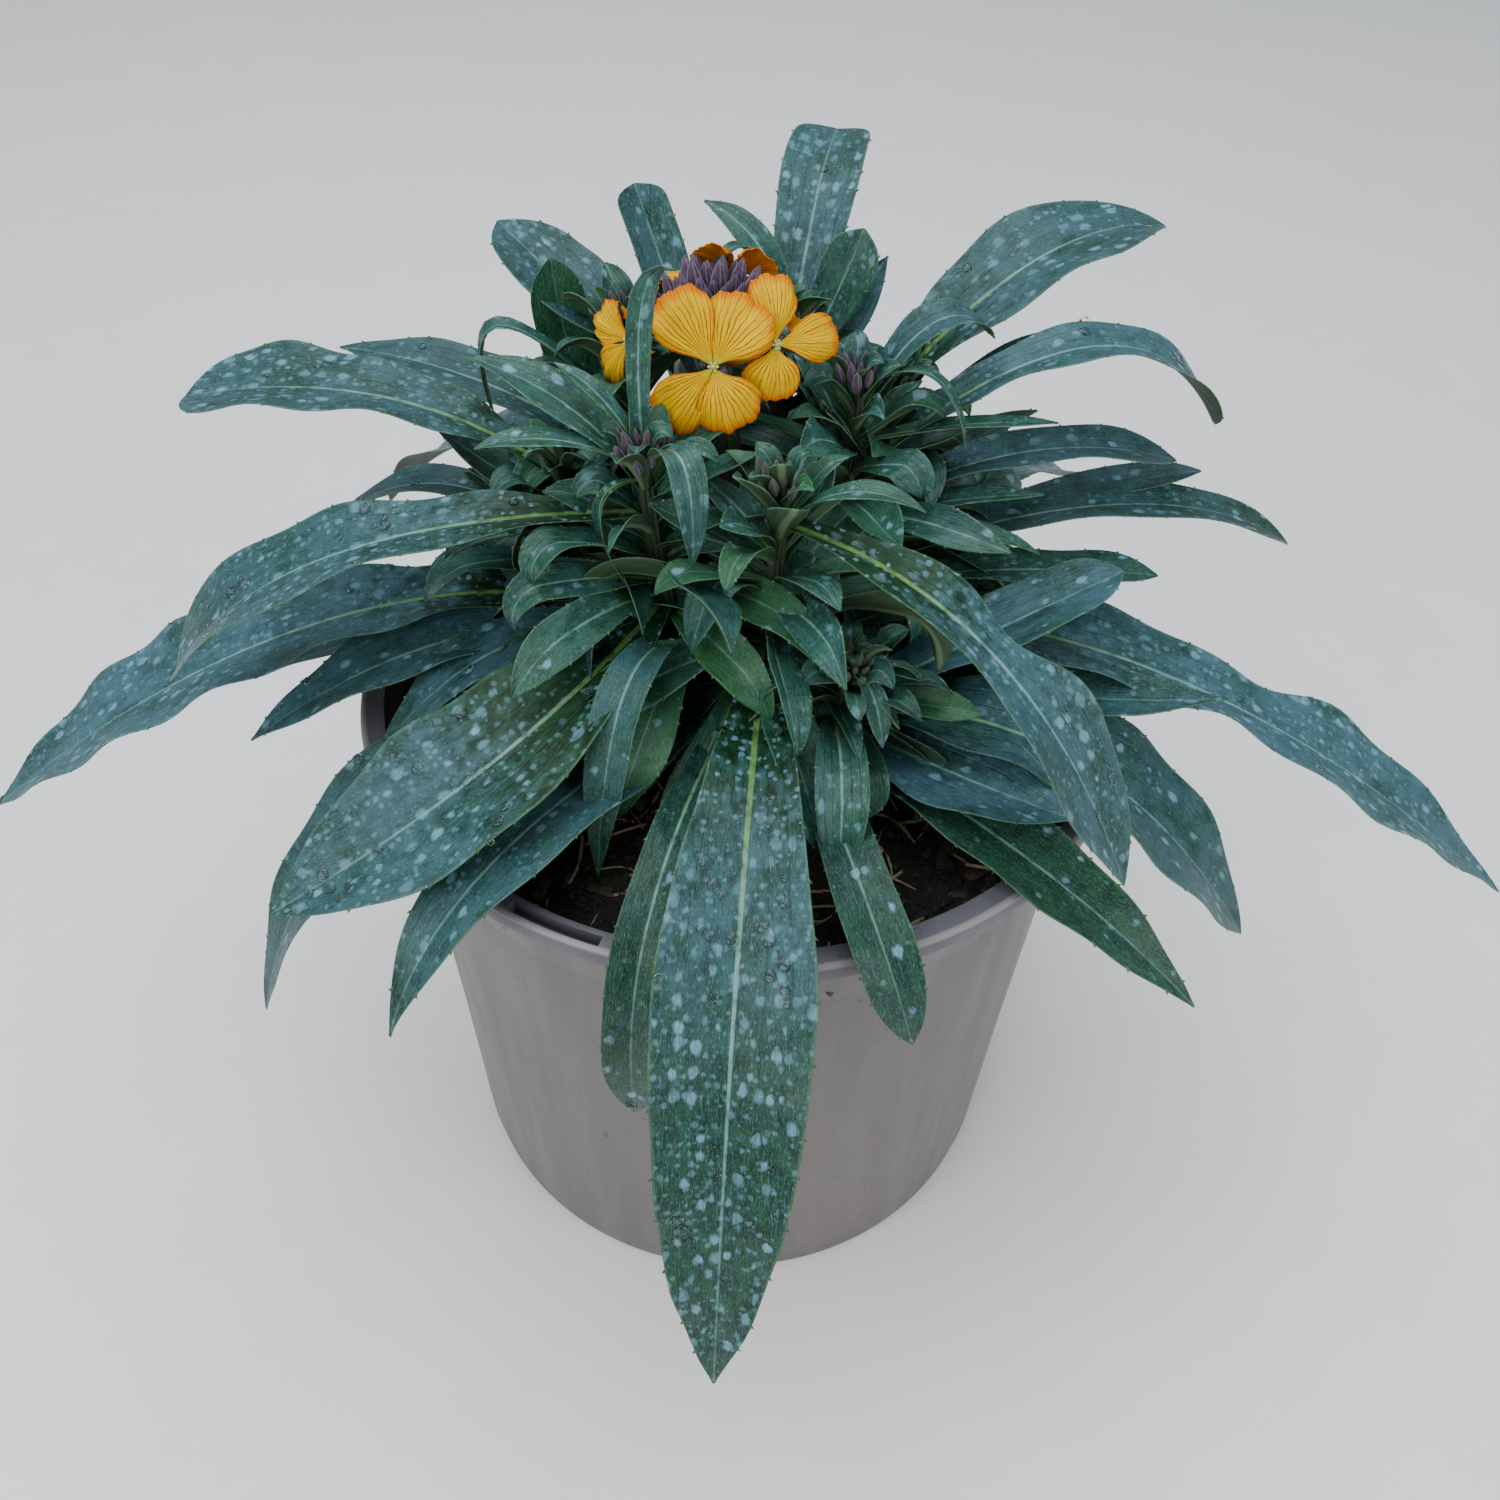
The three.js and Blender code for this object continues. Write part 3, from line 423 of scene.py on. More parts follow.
LONG_LEAVES = (
    Leaf("front", "front", 0.45, -93, 126, -105, 100, 15, 34, peak=0.55, spots=1, wet=0.8, film=0.5,
         young=0.35, dark=0.26),
    Leaf("front_left", "left_front", 0.6, -118, 98, -36, 58, -6, 36, peak=0.56, swing=-40, spots=0.8,
         wet=0.8, film=1.3, young=0.4, dark=0.5),
    Leaf("front_right", "front", 0.92, -32, 90, -58, 58, 6, 26, peak=0.7, waist=0.4, waist_at=0.48,
         spots=0.8, film=1.3, young=0.22, dark=0.36),
    Leaf("front_hanging", "left_front", 0.3, -109, 59, -20, 48, 52, 11, spots=0.1, film=0.8, young=0.6),
    Leaf("front_short", "front_right", 0.2, -80, 87, -22, 87, 30, 14, peak=0.68, swing=13, spots=0.1,
         square=1.2, film=0.3, young=0.5),
    Leaf("front_tucked", "front", 0.1, -104, 96, -47, 110, 38, 13, peak=0.72, spots=0.1, square=2.5,
         film=0.3, young=0.5),
    Leaf("left_front_low", "front", 0.15, -129, 119, -21, 100, 26, 25, peak=0.5, spots=0.4, square=-0.4,
         film=0.9, young=0.45),
    Leaf("left_low", "left_front", 0.35, -152, 116, -76, 92, 10, 24, spots=0.3, young=0.5),
    Leaf("left_arch", "left_front", 0.87, -173, 108, -38, 80, 4, 29, peak=0.8, spots=0.9, wet=0.6,
         square=3, film=1.2, young=0.38, dark=0.32),
    Leaf("left_long", "left", 0.5, -172, 162, -56, 70, 22, 37, peak=0.66, spots=0.8, film=1.2, young=0.0),
    Leaf("left_upper", "left", 0.97, 172, 88, 10, 35, 26, 29, peak=0.76, waist=0.14, waist_at=0.54,
         spots=0.9, film=1.2, young=0.38, square=3),
    Leaf("left_behind", "left_back", 0.6, 158, 86, 15, 38, 22, 20),
    Leaf("left_mid", "left", 0.3, -162, 99, -10, 45, 26, 22, spots=0.3, young=0.1),
    Leaf("left_inner", "left", 0.2, -152, 76, -2, 38, 38, 18, spots=0.4, young=0.1),
    Leaf("left_narrow", "left", 0.3, 178, 103, -20, 60, 8, 9, spots=0.1),
    Leaf("left_shaded", "left", 0.6, 168, 66, 7, 30, 38, 13, spots=0.2),
    Leaf("back_left", "left_back", 0.93, 140, 43, 17, 15, 6, 23, spots=0.8, square=1, film=1.2, young=0.38),
    Leaf("back_upright", "main", 0.7, 122, 44, 48, 22, 24, 13, peak=0.84, square=5, film=1.2, young=0.38),
    Leaf("back_spoon", "left_back", 0.5, 152, 28, 59, 24, 14, 13, peak=0.8, roll=-45, spots=0, square=1.5,
         film=0.0, young=0.7),
    Leaf("back_tall", "back", 0.7, 78, 62, 61, 16, 30, 20, peak=0.8, curl=20, spots=0.9, square=6, film=1.2,
         young=0.38),
    Leaf("back_pale", "back", 0.8, 40, 33, 28, 14, 8, 11, roll=35, spots=0.3),
    Leaf("behind_right", "right_back", 0.3, 45, 125, -25, 62, 40, 26),
    Leaf("behind_mid_right", "back", 0.3, 68, 120, -35, 60, 45, 28),
    Leaf("behind_mid", "back", 0.45, 100, 135, -50, 68, 40, 30),
    Leaf("behind_mid_left", "left_back", 0.3, 122, 120, -45, 60, 42, 27),
    Leaf("behind_left", "left_back", 0.4, 143, 108, -35, 55, 35, 26),
    Leaf("right_upper", "right_back", 0.98, 28, 74, 26, 36, 37, 30, peak=0.5, film=1.1, young=0.38, square=1),
    Leaf("right_curled", "right", 0.9, 20, 33, 16, 17, 36, 12, spots=0.2),
    Leaf("right_small", "right_back", 0.7, 15, 43, 40, 15, 30, 9, spots=0.2),
    Leaf("right_arch", "right", 0.75, 12, 91, 6, 62, 56, 17, peak=0.7, film=1.1, square=4, young=0.1),
    Leaf("right_mid", "right", 0.6, 10, 83, 12, 40, 28, 15, peak=0.66, spots=0.4, square=3, film=1.1,
         young=0.1),
    Leaf("right_straight", "right_back", 0.4, 5, 88, 31, 40, 26, 12, peak=0.66, spots=0.3, square=3,
         young=0.1),
    Leaf("right_long", "right", 0.4, 8, 120, 3, 78, 34, 15, peak=0.68, spots=0.4, film=0.85,
         young=0.4, square=3),
    Leaf("right_inner", "front_right", 0.5, 14, 70, 31, 30, 14, 20, peak=0.7, spots=0.3, film=1.1,
         young=0.1, square=2.5),
    Leaf("right_far", "right", 0.25, -8, 191, -66, 86, 22, 36, peak=0.62, waist=0.4, waist_at=0.54,
         spots=0.9, film=1.2, young=0.0),
    Leaf("right_low", "right", 0.1, -18, 108, 14, 54, -6, 22, spots=0.2, young=0.5),
    Leaf("right_drooping", "front_right", 0.3, -16, 115, -41, 66, 32, 34, spots=0.3, square=1.5, film=1.1,
         young=0.3),
    Leaf("right_broad", "front_right", 0.5, -31, 64, 0, 30, -3, 30, spots=0.4, wet=0.2, film=1.2, young=0),
    Leaf("right_front_low", "front_right", 0.1, -50, 117, -26, 85, 24, 21, swing=29, spots=0.2,
         square=-0.4, film=0.3, young=0.55),
)

SHORT_LEAVES = (
    Leaf("strap_hooked", "left_front", 0.95, -150, 3, -32, 21, 6, 5),
    Leaf("short_left", "left_front", 0.97, -172, 35, 7, 18, 13, 8),
    Leaf("short_left_up", "left_front", 0.99, 150, 22, 16, 8, 14, 5),
    Leaf("glossy_left", "left_front", 0.9, 160, 41, 25, 10, 22, 13),
    Leaf("strap_upright", "left_front", 0.88, 150, 0, 48, 6, 61, 5.6, peak=0.76, swing=-11.6, roll=-60,
         curl=30),
    Leaf("arch_middle", "right", 0.86, -150, -12, -16, 24, 30, 10),
    Leaf("strap_inner", "right", 0.55, -115, 38, -10, 20, 10, 8),
    Leaf("hanging_middle", "left_front", 0.98, -60, 22, -12, 24, 28, 8),
    Leaf("inner_broad", "front", 0.55, -140, 22, 6, 14, 42, 12),
    Leaf("inner_left", "left_front", 0.5, -165, 38, 8, 16, 24, 8),
    Leaf("short_right", "front", 0.9, -20, 31, 13, 12, 20, 7),
    Leaf("fresh_low", "front", 0.52, -52, 30, -22, 14, 4, 8),
    Leaf("hanging_right", "front_right", 0.6, -88, 41, -17, 40, 24, 12),
    Leaf("tuft_side", "front_right", 0.97, -10, 16, 0, 8, 5, 5),
    Leaf("tuft_front", "front_right", 0.98, -60, 14, -12, 10, 4, 6),
    Leaf("thin_arch_right", "right", 0.98, -15, 26, -11, 20, 18, 4),
    Leaf("short_right_mid", "right", 0.6, -2, 48, 12, 20, 10, 8),
    Leaf("round_right", "right", 0.52, -12, 50, 8, 26, 18, 9),
    Leaf("far_tip_right", "right", 0.85, -3, 46, 8, 24, 8, 6),
    Leaf("thin_arch_left", "left_back", 0.75, -175, 34, 2, 44, 52, 6),
    Leaf("pale_behind", "right_back", 0.7, 6, 38, 22, 16, 12, 13),
    Leaf("back_inner", "back", 0.85, 40, 24, 32, 12, 6, 13, peak=0.75, roll=35, square=2),
    Leaf("back_curl", "back", 0.98, 147, 24, 24, 4, 22, 8, roll=-30),
    Leaf("dark_round_left", "left", 0.9, 165, 31, 13, 12, 0, 12),
    Leaf("dark_low_left", "left", 0.52, -178, 56, -14, 25, -2, 9),
    Leaf("back_loop", "back", 0.98, 225, 25, 20, 14, 37, 5),
    Leaf("round_far", "right", 0.35, 0, 84, 8, 40, 12, 14, peak=0.75, square=1),
)


TOOTH_FACES = ([0, 1, 4], [3, 2, 4], [2, 0, 4], [1, 3, 4], [1, 0, 2, 3])


@dataclass
class Blade:
    """A blade in the making.

    It holds the shares of the leaf's length at its rows, as a column u, and of its half width, as
    a row b, then the midrib's points and directions, its length and the grid of half widths h.
    """

    leaf: Leaf
    u: Array
    b: Array
    middle: Array
    ahead: Array
    side: Array
    upright: Array
    length: float
    h: Array


@dataclass
class BladeMaker:
    """Turns leaves into closed blades with a midrib, waved edges and small teeth.

    Thicknesses, reaches, lengths and the pitch of the teeth are in millimetres. The outline's
    wobble is a share of the half width, and the waves are a share of the width.
    """

    along: int = 46
    across: int = 15
    gather: float = 0.92
    thickness: float = 0.5
    narrowest: float = 0.3
    rib: float = 0.5
    rib_reach: float = 0.9
    groove: float = 0.35
    groove_reach: float = 1.1
    wobble: tuple = (0.025, 0.015)
    wobble_beats: tuple = (7, 17)
    wave: float = 0.035
    wave_length: tuple = (26, 38)
    blister: float = 0.10
    blister_length: float = 9.0
    blister_breadth: float = 11.0
    tooth: float = 0.75
    tooth_pitch: float = 11.0
    least_tooth: float = 0.3
    toothed: tuple = (0.22, 0.95)
    last_tooth: float = 0.97
    seed: int = 5
    rng: Draws = field(init=False)

    def __post_init__(self) -> None:
        """Starts the seeded draws."""
        self.rng = np.random.default_rng(self.seed)

    def start(self, leaf: Leaf) -> Blade:
        """Finds a blade's course and its half widths, which wobble in their own way on each side.

        Args:
            leaf: The leaf.

        Returns:
            The blade.
        """
        shares, step = np.linspace(0, 1, self.along + 1), 0.004
        ahead = unit(leaf.midrib(np.minimum(shares + step, 1)) - leaf.midrib(np.maximum(shares - step, 0)))
        side = np.cross(UP, compass(leaf.heading))
        side = unit(side - ahead * (ahead @ side)[:, None])
        side = turned(side, ahead, np.radians(leaf.roll + leaf.twist * shares))
        fine = leaf.midrib(np.linspace(0, 1, 60))
        length = float(np.linalg.norm(np.diff(fine, axis=0), axis=1).sum())
        reach = math.pi / 2 * self.gather
        b = (np.sin(np.linspace(-1, 1, self.across) * reach) / math.sin(reach))[None, :]
        u = shares[:, None]
        beats, starts = self.rng.uniform(*self.wobble_beats, 4), self.rng.uniform(0, 6.3, 4)
        sides = [self.wobble[0] * np.sin(u * beats[k] + starts[k])
                 + self.wobble[1] * np.sin(u * beats[k + 1] * 1.7 + starts[k + 1]) for k in (0, 2)]
        h = np.maximum(self.narrowest, leaf.wide / 2 * leaf.outline(u)) * (1 + np.where(b > 0, *sides))
        return Blade(leaf, u, b, leaf.midrib(shares), ahead, side, np.cross(ahead, side), length, h)

    def rises(self, blade: Blade) -> Array:
        """Raises the cupped section, with a groove over the midrib, edge waves and blisters.

        Args:
            blade: The blade.

        Returns:
            A grid of heights over the midrib.
        """
        leaf, u, b, h = blade.leaf, blade.u, blade.b, blade.h
        a = np.abs(b)
        rise = h * math.sin(math.radians(leaf.cup)) * (a**1.25)
        rise = rise - self.groove * np.exp(-(b * h / self.groove_reach) ** 2) * (1 - 0.7 * u)
        beat = blade.length / self.rng.uniform(*self.wave_length)
        phase = self.rng.uniform(0, 2 * math.pi, 2)
        wave = np.where(b > 0, np.sin(2 * math.pi * beat * u + phase[0]),
                        np.sin(2 * math.pi * beat * 1.13 * u + phase[1]))
        fade = np.sin(math.pi * u) ** 0.6
        rise = rise + leaf.waves * self.wave * leaf.wide * wave * a**2 * fade
        cells = blade.length / self.blister_length * u - a * h / self.blister_breadth
        blisters = np.sin(2 * math.pi * cells + phase[0])
        return rise + self.blister * blisters * a * (1 - a) * 4 * fade * min(1.0, leaf.wide / 18)

    def thicknesses(self, blade: Blade) -> Array:
        """Thickens the blade, least at its edges and most over the midrib's keel.

        Args:
            blade: The blade.

        Returns:
            A grid of thicknesses.
        """
        u, b, h = blade.u, blade.b, blade.h
        keel = self.rib * (1 - 0.75 * u) * np.exp(-((b * h) / self.rib_reach) ** 2)
        keel = keel * min(1.0, blade.leaf.wide / 14)
        flat = self.thickness * (0.55 + 0.45 * (1 - np.abs(b) ** 3)) * np.minimum(1, h / 2.0 + 0.35)
        return flat + keel

    def add(self, sheaf: Sheaf, leaf: Leaf, tint: float | None = None) -> None:
        """Adds one blade to a sheaf.

        Args:
            sheaf: Where it goes.
            leaf: The leaf.
            tint: How fresh its green is, from 0 old to 1 young, if not as the leaf says.
        """
        blade = self.start(leaf)
        u, h = blade.u, blade.h
        rise = self.rises(blade)[..., None]
        out = (h * blade.b * math.cos(math.radians(leaf.cup)))[..., None]
        top = blade.middle[:, None] + blade.side[:, None] * out + blade.upright[:, None] * rise
        low = top - blade.upright[:, None] * self.thicknesses(blade)[..., None]
        faces = two_sided(*h.shape)
        flat = (h.shape[0] - 1) * (h.shape[1] - 1)
        slots = [Face.TOP.value] * flat + [Face.UNDER.value] * flat
        slots += [Face.TOP.value] * (len(faces) - 2 * flat)
        rib = (0.16 + 0.62 * (1 - u) ** 1.4) * min(1.0, 0.25 + leaf.wide / 30)
        numbers = {"along": u, "across": blade.b, "reach_mm": u * blade.length, "side_mm": h * blade.b,
                   "rib_mm": rib}
        values = {name: on_both(row, *h.shape) for name, row in numbers.items()}
        marks = {"tint": leaf.young if tint is None else tint, "marking": self.rng.uniform(0, 50)}
        sheaf.add(np.concatenate([top.reshape(-1, 3), low.reshape(-1, 3)]), faces, slots, **values,
                  spots=leaf.spots, wet=leaf.wet, film=leaf.film, dark=leaf.dark, **marks)
        self.teeth(sheaf, blade, top, marks)

    def teeth(self, sheaf: Sheaf, blade: Blade, top: Array, marks: dict) -> None:
        """Adds the small pointed teeth along both edges.

        Args:
            sheaf: Where they go.
            blade: The blade.
            top: Its upper grid of points.
            marks: Its tint and where its pattern lies.
        """
        wide, length = blade.leaf.wide, blade.length
        size = self.tooth * min(1.0, wide / 16)
        if size < self.least_tooth:
            return
        plain = dict.fromkeys(("rib_mm", "spots", "wet", "film", "dark"), 0.0)
        reach = length * self.toothed[0]
        while reach < length * self.toothed[1]:
            reach += self.tooth_pitch * self.rng.uniform(0.6, 1.4) * min(1.0, 0.5 + wide / 40)
            for sign, column in ((1, -1), (-1, 0)):
                share = (reach + self.rng.uniform(-2, 2)) / length
                if share > self.last_tooth:
                    continue
                points = self.tooth_points(blade, top[:, column], share, sign, size)
                faces = [face[::-sign] for face in TOOTH_FACES]
                sheaf.add(points, faces, Face.TOP.value, along=share, across=sign, reach_mm=reach,
                          side_mm=sign * wide / 2, **plain, **marks)

    def tooth_points(self, blade: Blade, edge: Array, share: float, sign: int,
                     size: float) -> Array:
        """Places one tooth, which leans forward and is sunk a little into the blade.

        Args:
            blade: The blade.
            edge: Points along the blade's edge.
            share: Where on the length it stands.
            sign: Its side, 1 left or -1 right.
            size: How far it stands out.

        Returns:
            Four points of its foot and its tip.
        """
        half, shares = size * 0.9 / blade.length, blade.u[:, 0]
        near, far = (np.array([np.interp(s, shares, edge[:, k]) for k in range(3)])
                     for s in (share - half, share + half))
        last = len(shares) - 1
        row = int(np.clip(share * last, 0, last))
        out = blade.side[row] * sign
        tip = far + out * size + blade.ahead[row] * size * 0.4
        foot = [near - out * 0.5, far - out * 0.5]
        drop = blade.upright[row] * -0.3
        return np.array([*foot, foot[0] + drop, foot[1] + drop, tip])


# Finishes


class Nodes:
    """Writes a material's or a shape tree's nodes in few words."""

    def __init__(self, tree: bpy.types.NodeTree) -> None:
        """Keeps the tree that it writes to."""
        self.tree = tree

    def add(self, kind: str, settings: dict | None = None, **inputs: object) -> bpy.types.Node:
        """Adds a node.

        Args:
            kind: Its type name.
            settings: Its own settings by name.
            **inputs: Values or sockets by input name, with _ for a space, or in0, in1 by number.

        Returns:
            The node.
        """
        node = self.tree.nodes.new(kind)
        for key, value in (settings or {}).items():
            setattr(node, key, value)
        for key, value in inputs.items():
            number = key[2:] if key.startswith("in") and key[2:].isdigit() else None
            socket = node.inputs[int(number)] if number else node.inputs[key.replace("_", " ")]
            if isinstance(value, Socket):
                self.tree.links.new(value, socket)
            else:
                socket.default_value = value
        return node

    def math(self, operation: str, a: object, b: object = 0.0, c: object = 0.0) -> object:
        """Returns the outcome of an operation on numbers."""
        return self.add("ShaderNodeMath", {"operation": operation}, in0=a, in1=b, in2=c).outputs[0]

    def times(self, first: object, *others: object) -> object:
        """Returns the product of two numbers or more."""
        for other in others:
            first = self.math("MULTIPLY", first, other)
        return first

    plus = partialmethod(math, "ADD")
    minus = partialmethod(math, "SUBTRACT")
    larger = partialmethod(math, "MAXIMUM")
    unsigned = partialmethod(math, "ABSOLUTE")

    def ripples(self, number: object, beat: float) -> object:
        """Returns even ripples from 0 to 1 along a number."""
        return self.unsigned(self.math("SINE", self.times(number, beat)))

    def swayed(self, number: object, cloud: object, amount: float) -> object:
        """Returns a number pushed up and down by cloudy noise."""
        return self.math("MULTIPLY_ADD", self.minus(cloud, 0.5), amount, number)

    def ramp(self, value: object, low: float, high: float, to_low: float = 0.0,
             to_high: float = 1.0) -> object:
        """Returns a smooth ramp of a number between two others."""
        settings = {"interpolation_type": "SMOOTHSTEP"}
        node = self.add("ShaderNodeMapRange", settings, Value=value, From_Min=low, From_Max=high,
                        To_Min=to_low, To_Max=to_high)
        return node.outputs[0]

    def mix(self, share: object, first: object, second: object) -> object:
        """Returns a mix of two colours."""
        pair = [(*tone, 1.0) if isinstance(tone, tuple) else tone for tone in (first, second)]
        settings = {"data_type": "RGBA"}
        return self.add("ShaderNodeMix", settings, in0=share, in6=pair[0], in7=pair[1]).outputs[2]

    def layered(self, colour: object, *layers: tuple) -> object:
        """Returns a colour with others laid over it in turn, each by a share."""
        for share, tone in layers:
            colour = self.mix(share, colour, tone)
        return colour

    def attribute(self, name: str) -> object:
        """Returns a number that the mesh carries."""
        return self.add("ShaderNodeAttribute", {"attribute_name": name}).outputs["Fac"]

    def place(self) -> object:
        """Returns the place on the object, in metres."""
        return self.add("ShaderNodeTexCoord").outputs["Object"]

    def noise(self, vector: object, scale: float, detail: float = 2.0, roughness: float = 0.5) -> object:
        """Returns cloudy noise from 0 to 1."""
        return self.add("ShaderNodeTexNoise", None, Vector=vector, Scale=scale, Detail=detail,
                        Roughness=roughness).outputs["Fac"]

    def joined(self, x: object, y: object, z: object) -> object:
        """Returns a vector of three numbers."""
        return self.add("ShaderNodeCombineXYZ", None, X=x, Y=y, Z=z).outputs[0]


@dataclass(frozen=True)
class Finish:
    """A finish that a maker would name."""

    name: str
    roughness: float = 0.5
    sheen: float = 0.0
    specular: float = 0.5
    transmission: float = 0.0
    refraction: float = 1.5

    def paint(self, nodes: Nodes) -> tuple:
        """Mixes what the finish shows.

        Args:
            nodes: The node writer.

        Returns:
            Its colour, its roughness if that varies, its relief from 0 to 1 if it has any, the
            relief's depth in metres and how strongly it shows.
        """
        raise NotImplementedError

    def material(self) -> Material:
        """Makes the material from what the finish shows.

        Returns:
            The finished material.
        """
        material = bpy.data.materials.new(self.name)
        material.use_nodes = True
        material.node_tree.nodes.clear()
        nodes = Nodes(material.node_tree)
        colour, rough, height, depth, strength = self.paint(nodes)
        shader = nodes.add("ShaderNodeBsdfPrincipled", None, Base_Color=colour,
                           Roughness=self.roughness if rough is None else rough,
                           Sheen_Weight=self.sheen, Specular_IOR_Level=self.specular,
                           Transmission_Weight=self.transmission, IOR=self.refraction)
        if height is not None:
            bump = nodes.add("ShaderNodeBump", None, Strength=strength, Distance=depth, Height=height)
            nodes.tree.links.new(bump.outputs[0], shader.inputs["Normal"])
        nodes.add("ShaderNodeOutputMaterial", None, Surface=shader.outputs[0])
        return material


@dataclass(frozen=True)
class LeafFinish(Finish):
    """Deep green upper face under a blue-grey wax film, with dried drop marks and a pale midrib."""

    deep: tuple = (0.003, 0.020, 0.005)
    green: tuple = (0.010, 0.050, 0.014)
    bloom: tuple = (0.050, 0.125, 0.160)
    spot: tuple = (0.20, 0.40, 0.52)
    rib: tuple = (0.14, 0.28, 0.07)
    rib_tip: tuple = (0.20, 0.38, 0.34)
    margin: tuple = (0.14, 0.27, 0.13)
    fresh: tuple = (0.030, 0.120, 0.028)
    bloom_share: float = 1.0
    margin_share: float = 0.28
    smallest_mark: float = 0.12
    largest_mark: float = 0.38

    def marks(self, nodes: Nodes, flat: object, scale: float, share: object) -> object:
        """Draws soft round marks.

        Args:
            nodes: The node writer.
            flat: Where on the blade, in centimetres.
            scale: Marks to the centimetre.
            share: How many of the places carry one.

        Returns:
            How much mark shows, from 0 to 1.
        """
        settings = {"voronoi_dimensions": "2D", "feature": "F1"}
        cells = nodes.add("ShaderNodeTexVoronoi", settings, Vector=flat, Scale=scale, Randomness=0.95)
        draws = nodes.add("ShaderNodeSeparateColor", None, Color=cells.outputs["Color"])
        size = nodes.math("MULTIPLY_ADD", draws.outputs[1], self.largest_mark - self.smallest_mark,
                          self.smallest_mark)
        ragged = nodes.times(nodes.minus(nodes.noise(flat, scale * 2.6, 2.0), 0.5), 0.5)
        edge = nodes.plus(cells.outputs["Distance"], ragged)
        inside = nodes.ramp(nodes.minus(size, edge), -0.07, 0.16)
        chosen = nodes.math("LESS_THAN", draws.outputs[0], share)
        return nodes.times(inside, chosen, nodes.math("MULTIPLY_ADD", draws.outputs[2], 0.6, 0.4))

    def paint(self, nodes: Nodes) -> tuple:
        """Mixes what the finish shows.

        Args:
            nodes: The node writer.

        Returns:
            Colour, roughness and relief, as in Finish.
        """
        get, times, ramp = nodes.attribute, nodes.times, nodes.ramp
        side, along, tint, spots = get("side_mm"), get("along"), get("tint"), get("spots")
        # Centimetres along the blade and across it, apart for each leaf, and stretched two ways
        shifted = nodes.math("MULTIPLY_ADD", get("reach_mm"), 0.1, get("marking"))
        flat = nodes.joined(shifted, times(side, 0.1), 0.0)
        long_flat = nodes.joined(times(shifted, 0.72), times(side, 0.1), 0.0)
        grain_at = nodes.joined(times(shifted, 0.9), times(side, 0.65), 0.0)
        clouds = nodes.noise(long_flat, 0.75, 4.0, 0.6)
        blotch = nodes.noise(long_flat, 2.8, 4.0, 0.65)
        grain = nodes.noise(grain_at, 3.2, 3.0, 0.7)
        speck = nodes.noise(grain_at, 11.0, 2.0, 0.6)
        # The wax film starts a little way out from the foot and is worn through in clouds
        ragged = nodes.swayed(along, blotch, 0.5)
        outward = ramp(nodes.minus(ragged, get("dark")), -0.10, 0.10, 0.03, 1.0)
        far = nodes.minus(nodes.swayed(along, clouds, 0.7), get("film"))
        cover = times(ramp(clouds, 0.34, 0.56, 0.30, 1.0), outward, ramp(far, -0.08, 0.10, 1.0, 0.22),
                      ramp(blotch, 0.30, 0.66, 0.55, 1.0),
                      ramp(tint, 0.4, 1.0, self.bloom_share, self.bloom_share * 0.3),
                      ramp(tint, 0.0, 0.35, 1.0, 0.62))
        under = nodes.mix(ramp(blotch, 0.35, 0.65), self.deep, self.green)
        # A grain of short hairs runs lengthwise
        hairs = times(ramp(grain, 0.50, 0.72, 0.0, 0.62), ramp(outward, 0.0, 1.0, 0.3))
        # Marks of dried drops are large outwards and fine near the foot
        large = times(self.marks(nodes, long_flat, 2.9, times(spots, 0.52)),
                      ramp(ragged, 0.25, 0.55, 0.30, 0.85))
        fine = times(self.marks(nodes, flat, 4.6, times(spots, 0.60)), ramp(ragged, 0.35, 0.10, 0.40, 1.0))
        dots = times(nodes.larger(large, fine), ramp(grain, 0.25, 0.6, 0.55, 1.0))
        # The midrib is lime near the foot and white with wax further out
        rib = times(ramp(nodes.minus(get("rib_mm"), nodes.unsigned(side)), -0.22, 0.16),
                    ramp(tint, 0.2, 0.9, 1.0, 0.6), ramp(along, 1.0, 0.35, 0.30, 0.9),
                    ramp(blotch, 0.30, 0.58, 0.30, 1.0))
        rib_colour = nodes.mix(ramp(along, 0.20, 0.55), self.rib, self.rib_tip)
        # Two faint side veins each side, sunk a little, run on beside the midrib
        breadth = nodes.unsigned(get("across"))
        wander = nodes.swayed(breadth, clouds, 0.22)
        lines = [ramp(nodes.unsigned(nodes.minus(wander, place)), 0.022, 0.004) for place in (0.36, 0.68)]
        veins = times(nodes.larger(*lines), ramp(tint, 0.6, 0.3))
        colour = nodes.layered(
            under,
            (ramp(tint, 0.45, 1.0, 0.0, 0.9), self.fresh),
            (cover, self.bloom),
            (hairs, self.bloom),
            (ramp(grain, 0.26, 0.46, 0.50, 0.0), self.deep),
            (times(ramp(speck, 0.56, 0.72, 0.0, 0.45), outward), self.spot),
            (times(dots, 0.85), self.spot),
            (rib, rib_colour),
            (times(veins, 0.13), self.deep),
            (ramp(breadth, 0.94, 1.0, 0.0, self.margin_share), self.margin),
        )
        rough = nodes.plus(nodes.math("MULTIPLY_ADD", cover, 0.20, self.roughness),
                           ramp(grain, 0.3, 0.7, -0.08, 0.10))
        height = nodes.math("MULTIPLY_ADD", grain, 0.30, times(veins, -0.25))
        height = nodes.plus(nodes.plus(height, times(blotch, 0.8)), times(rib, 0.25))
        return colour, rough, height, 0.0006, 0.75


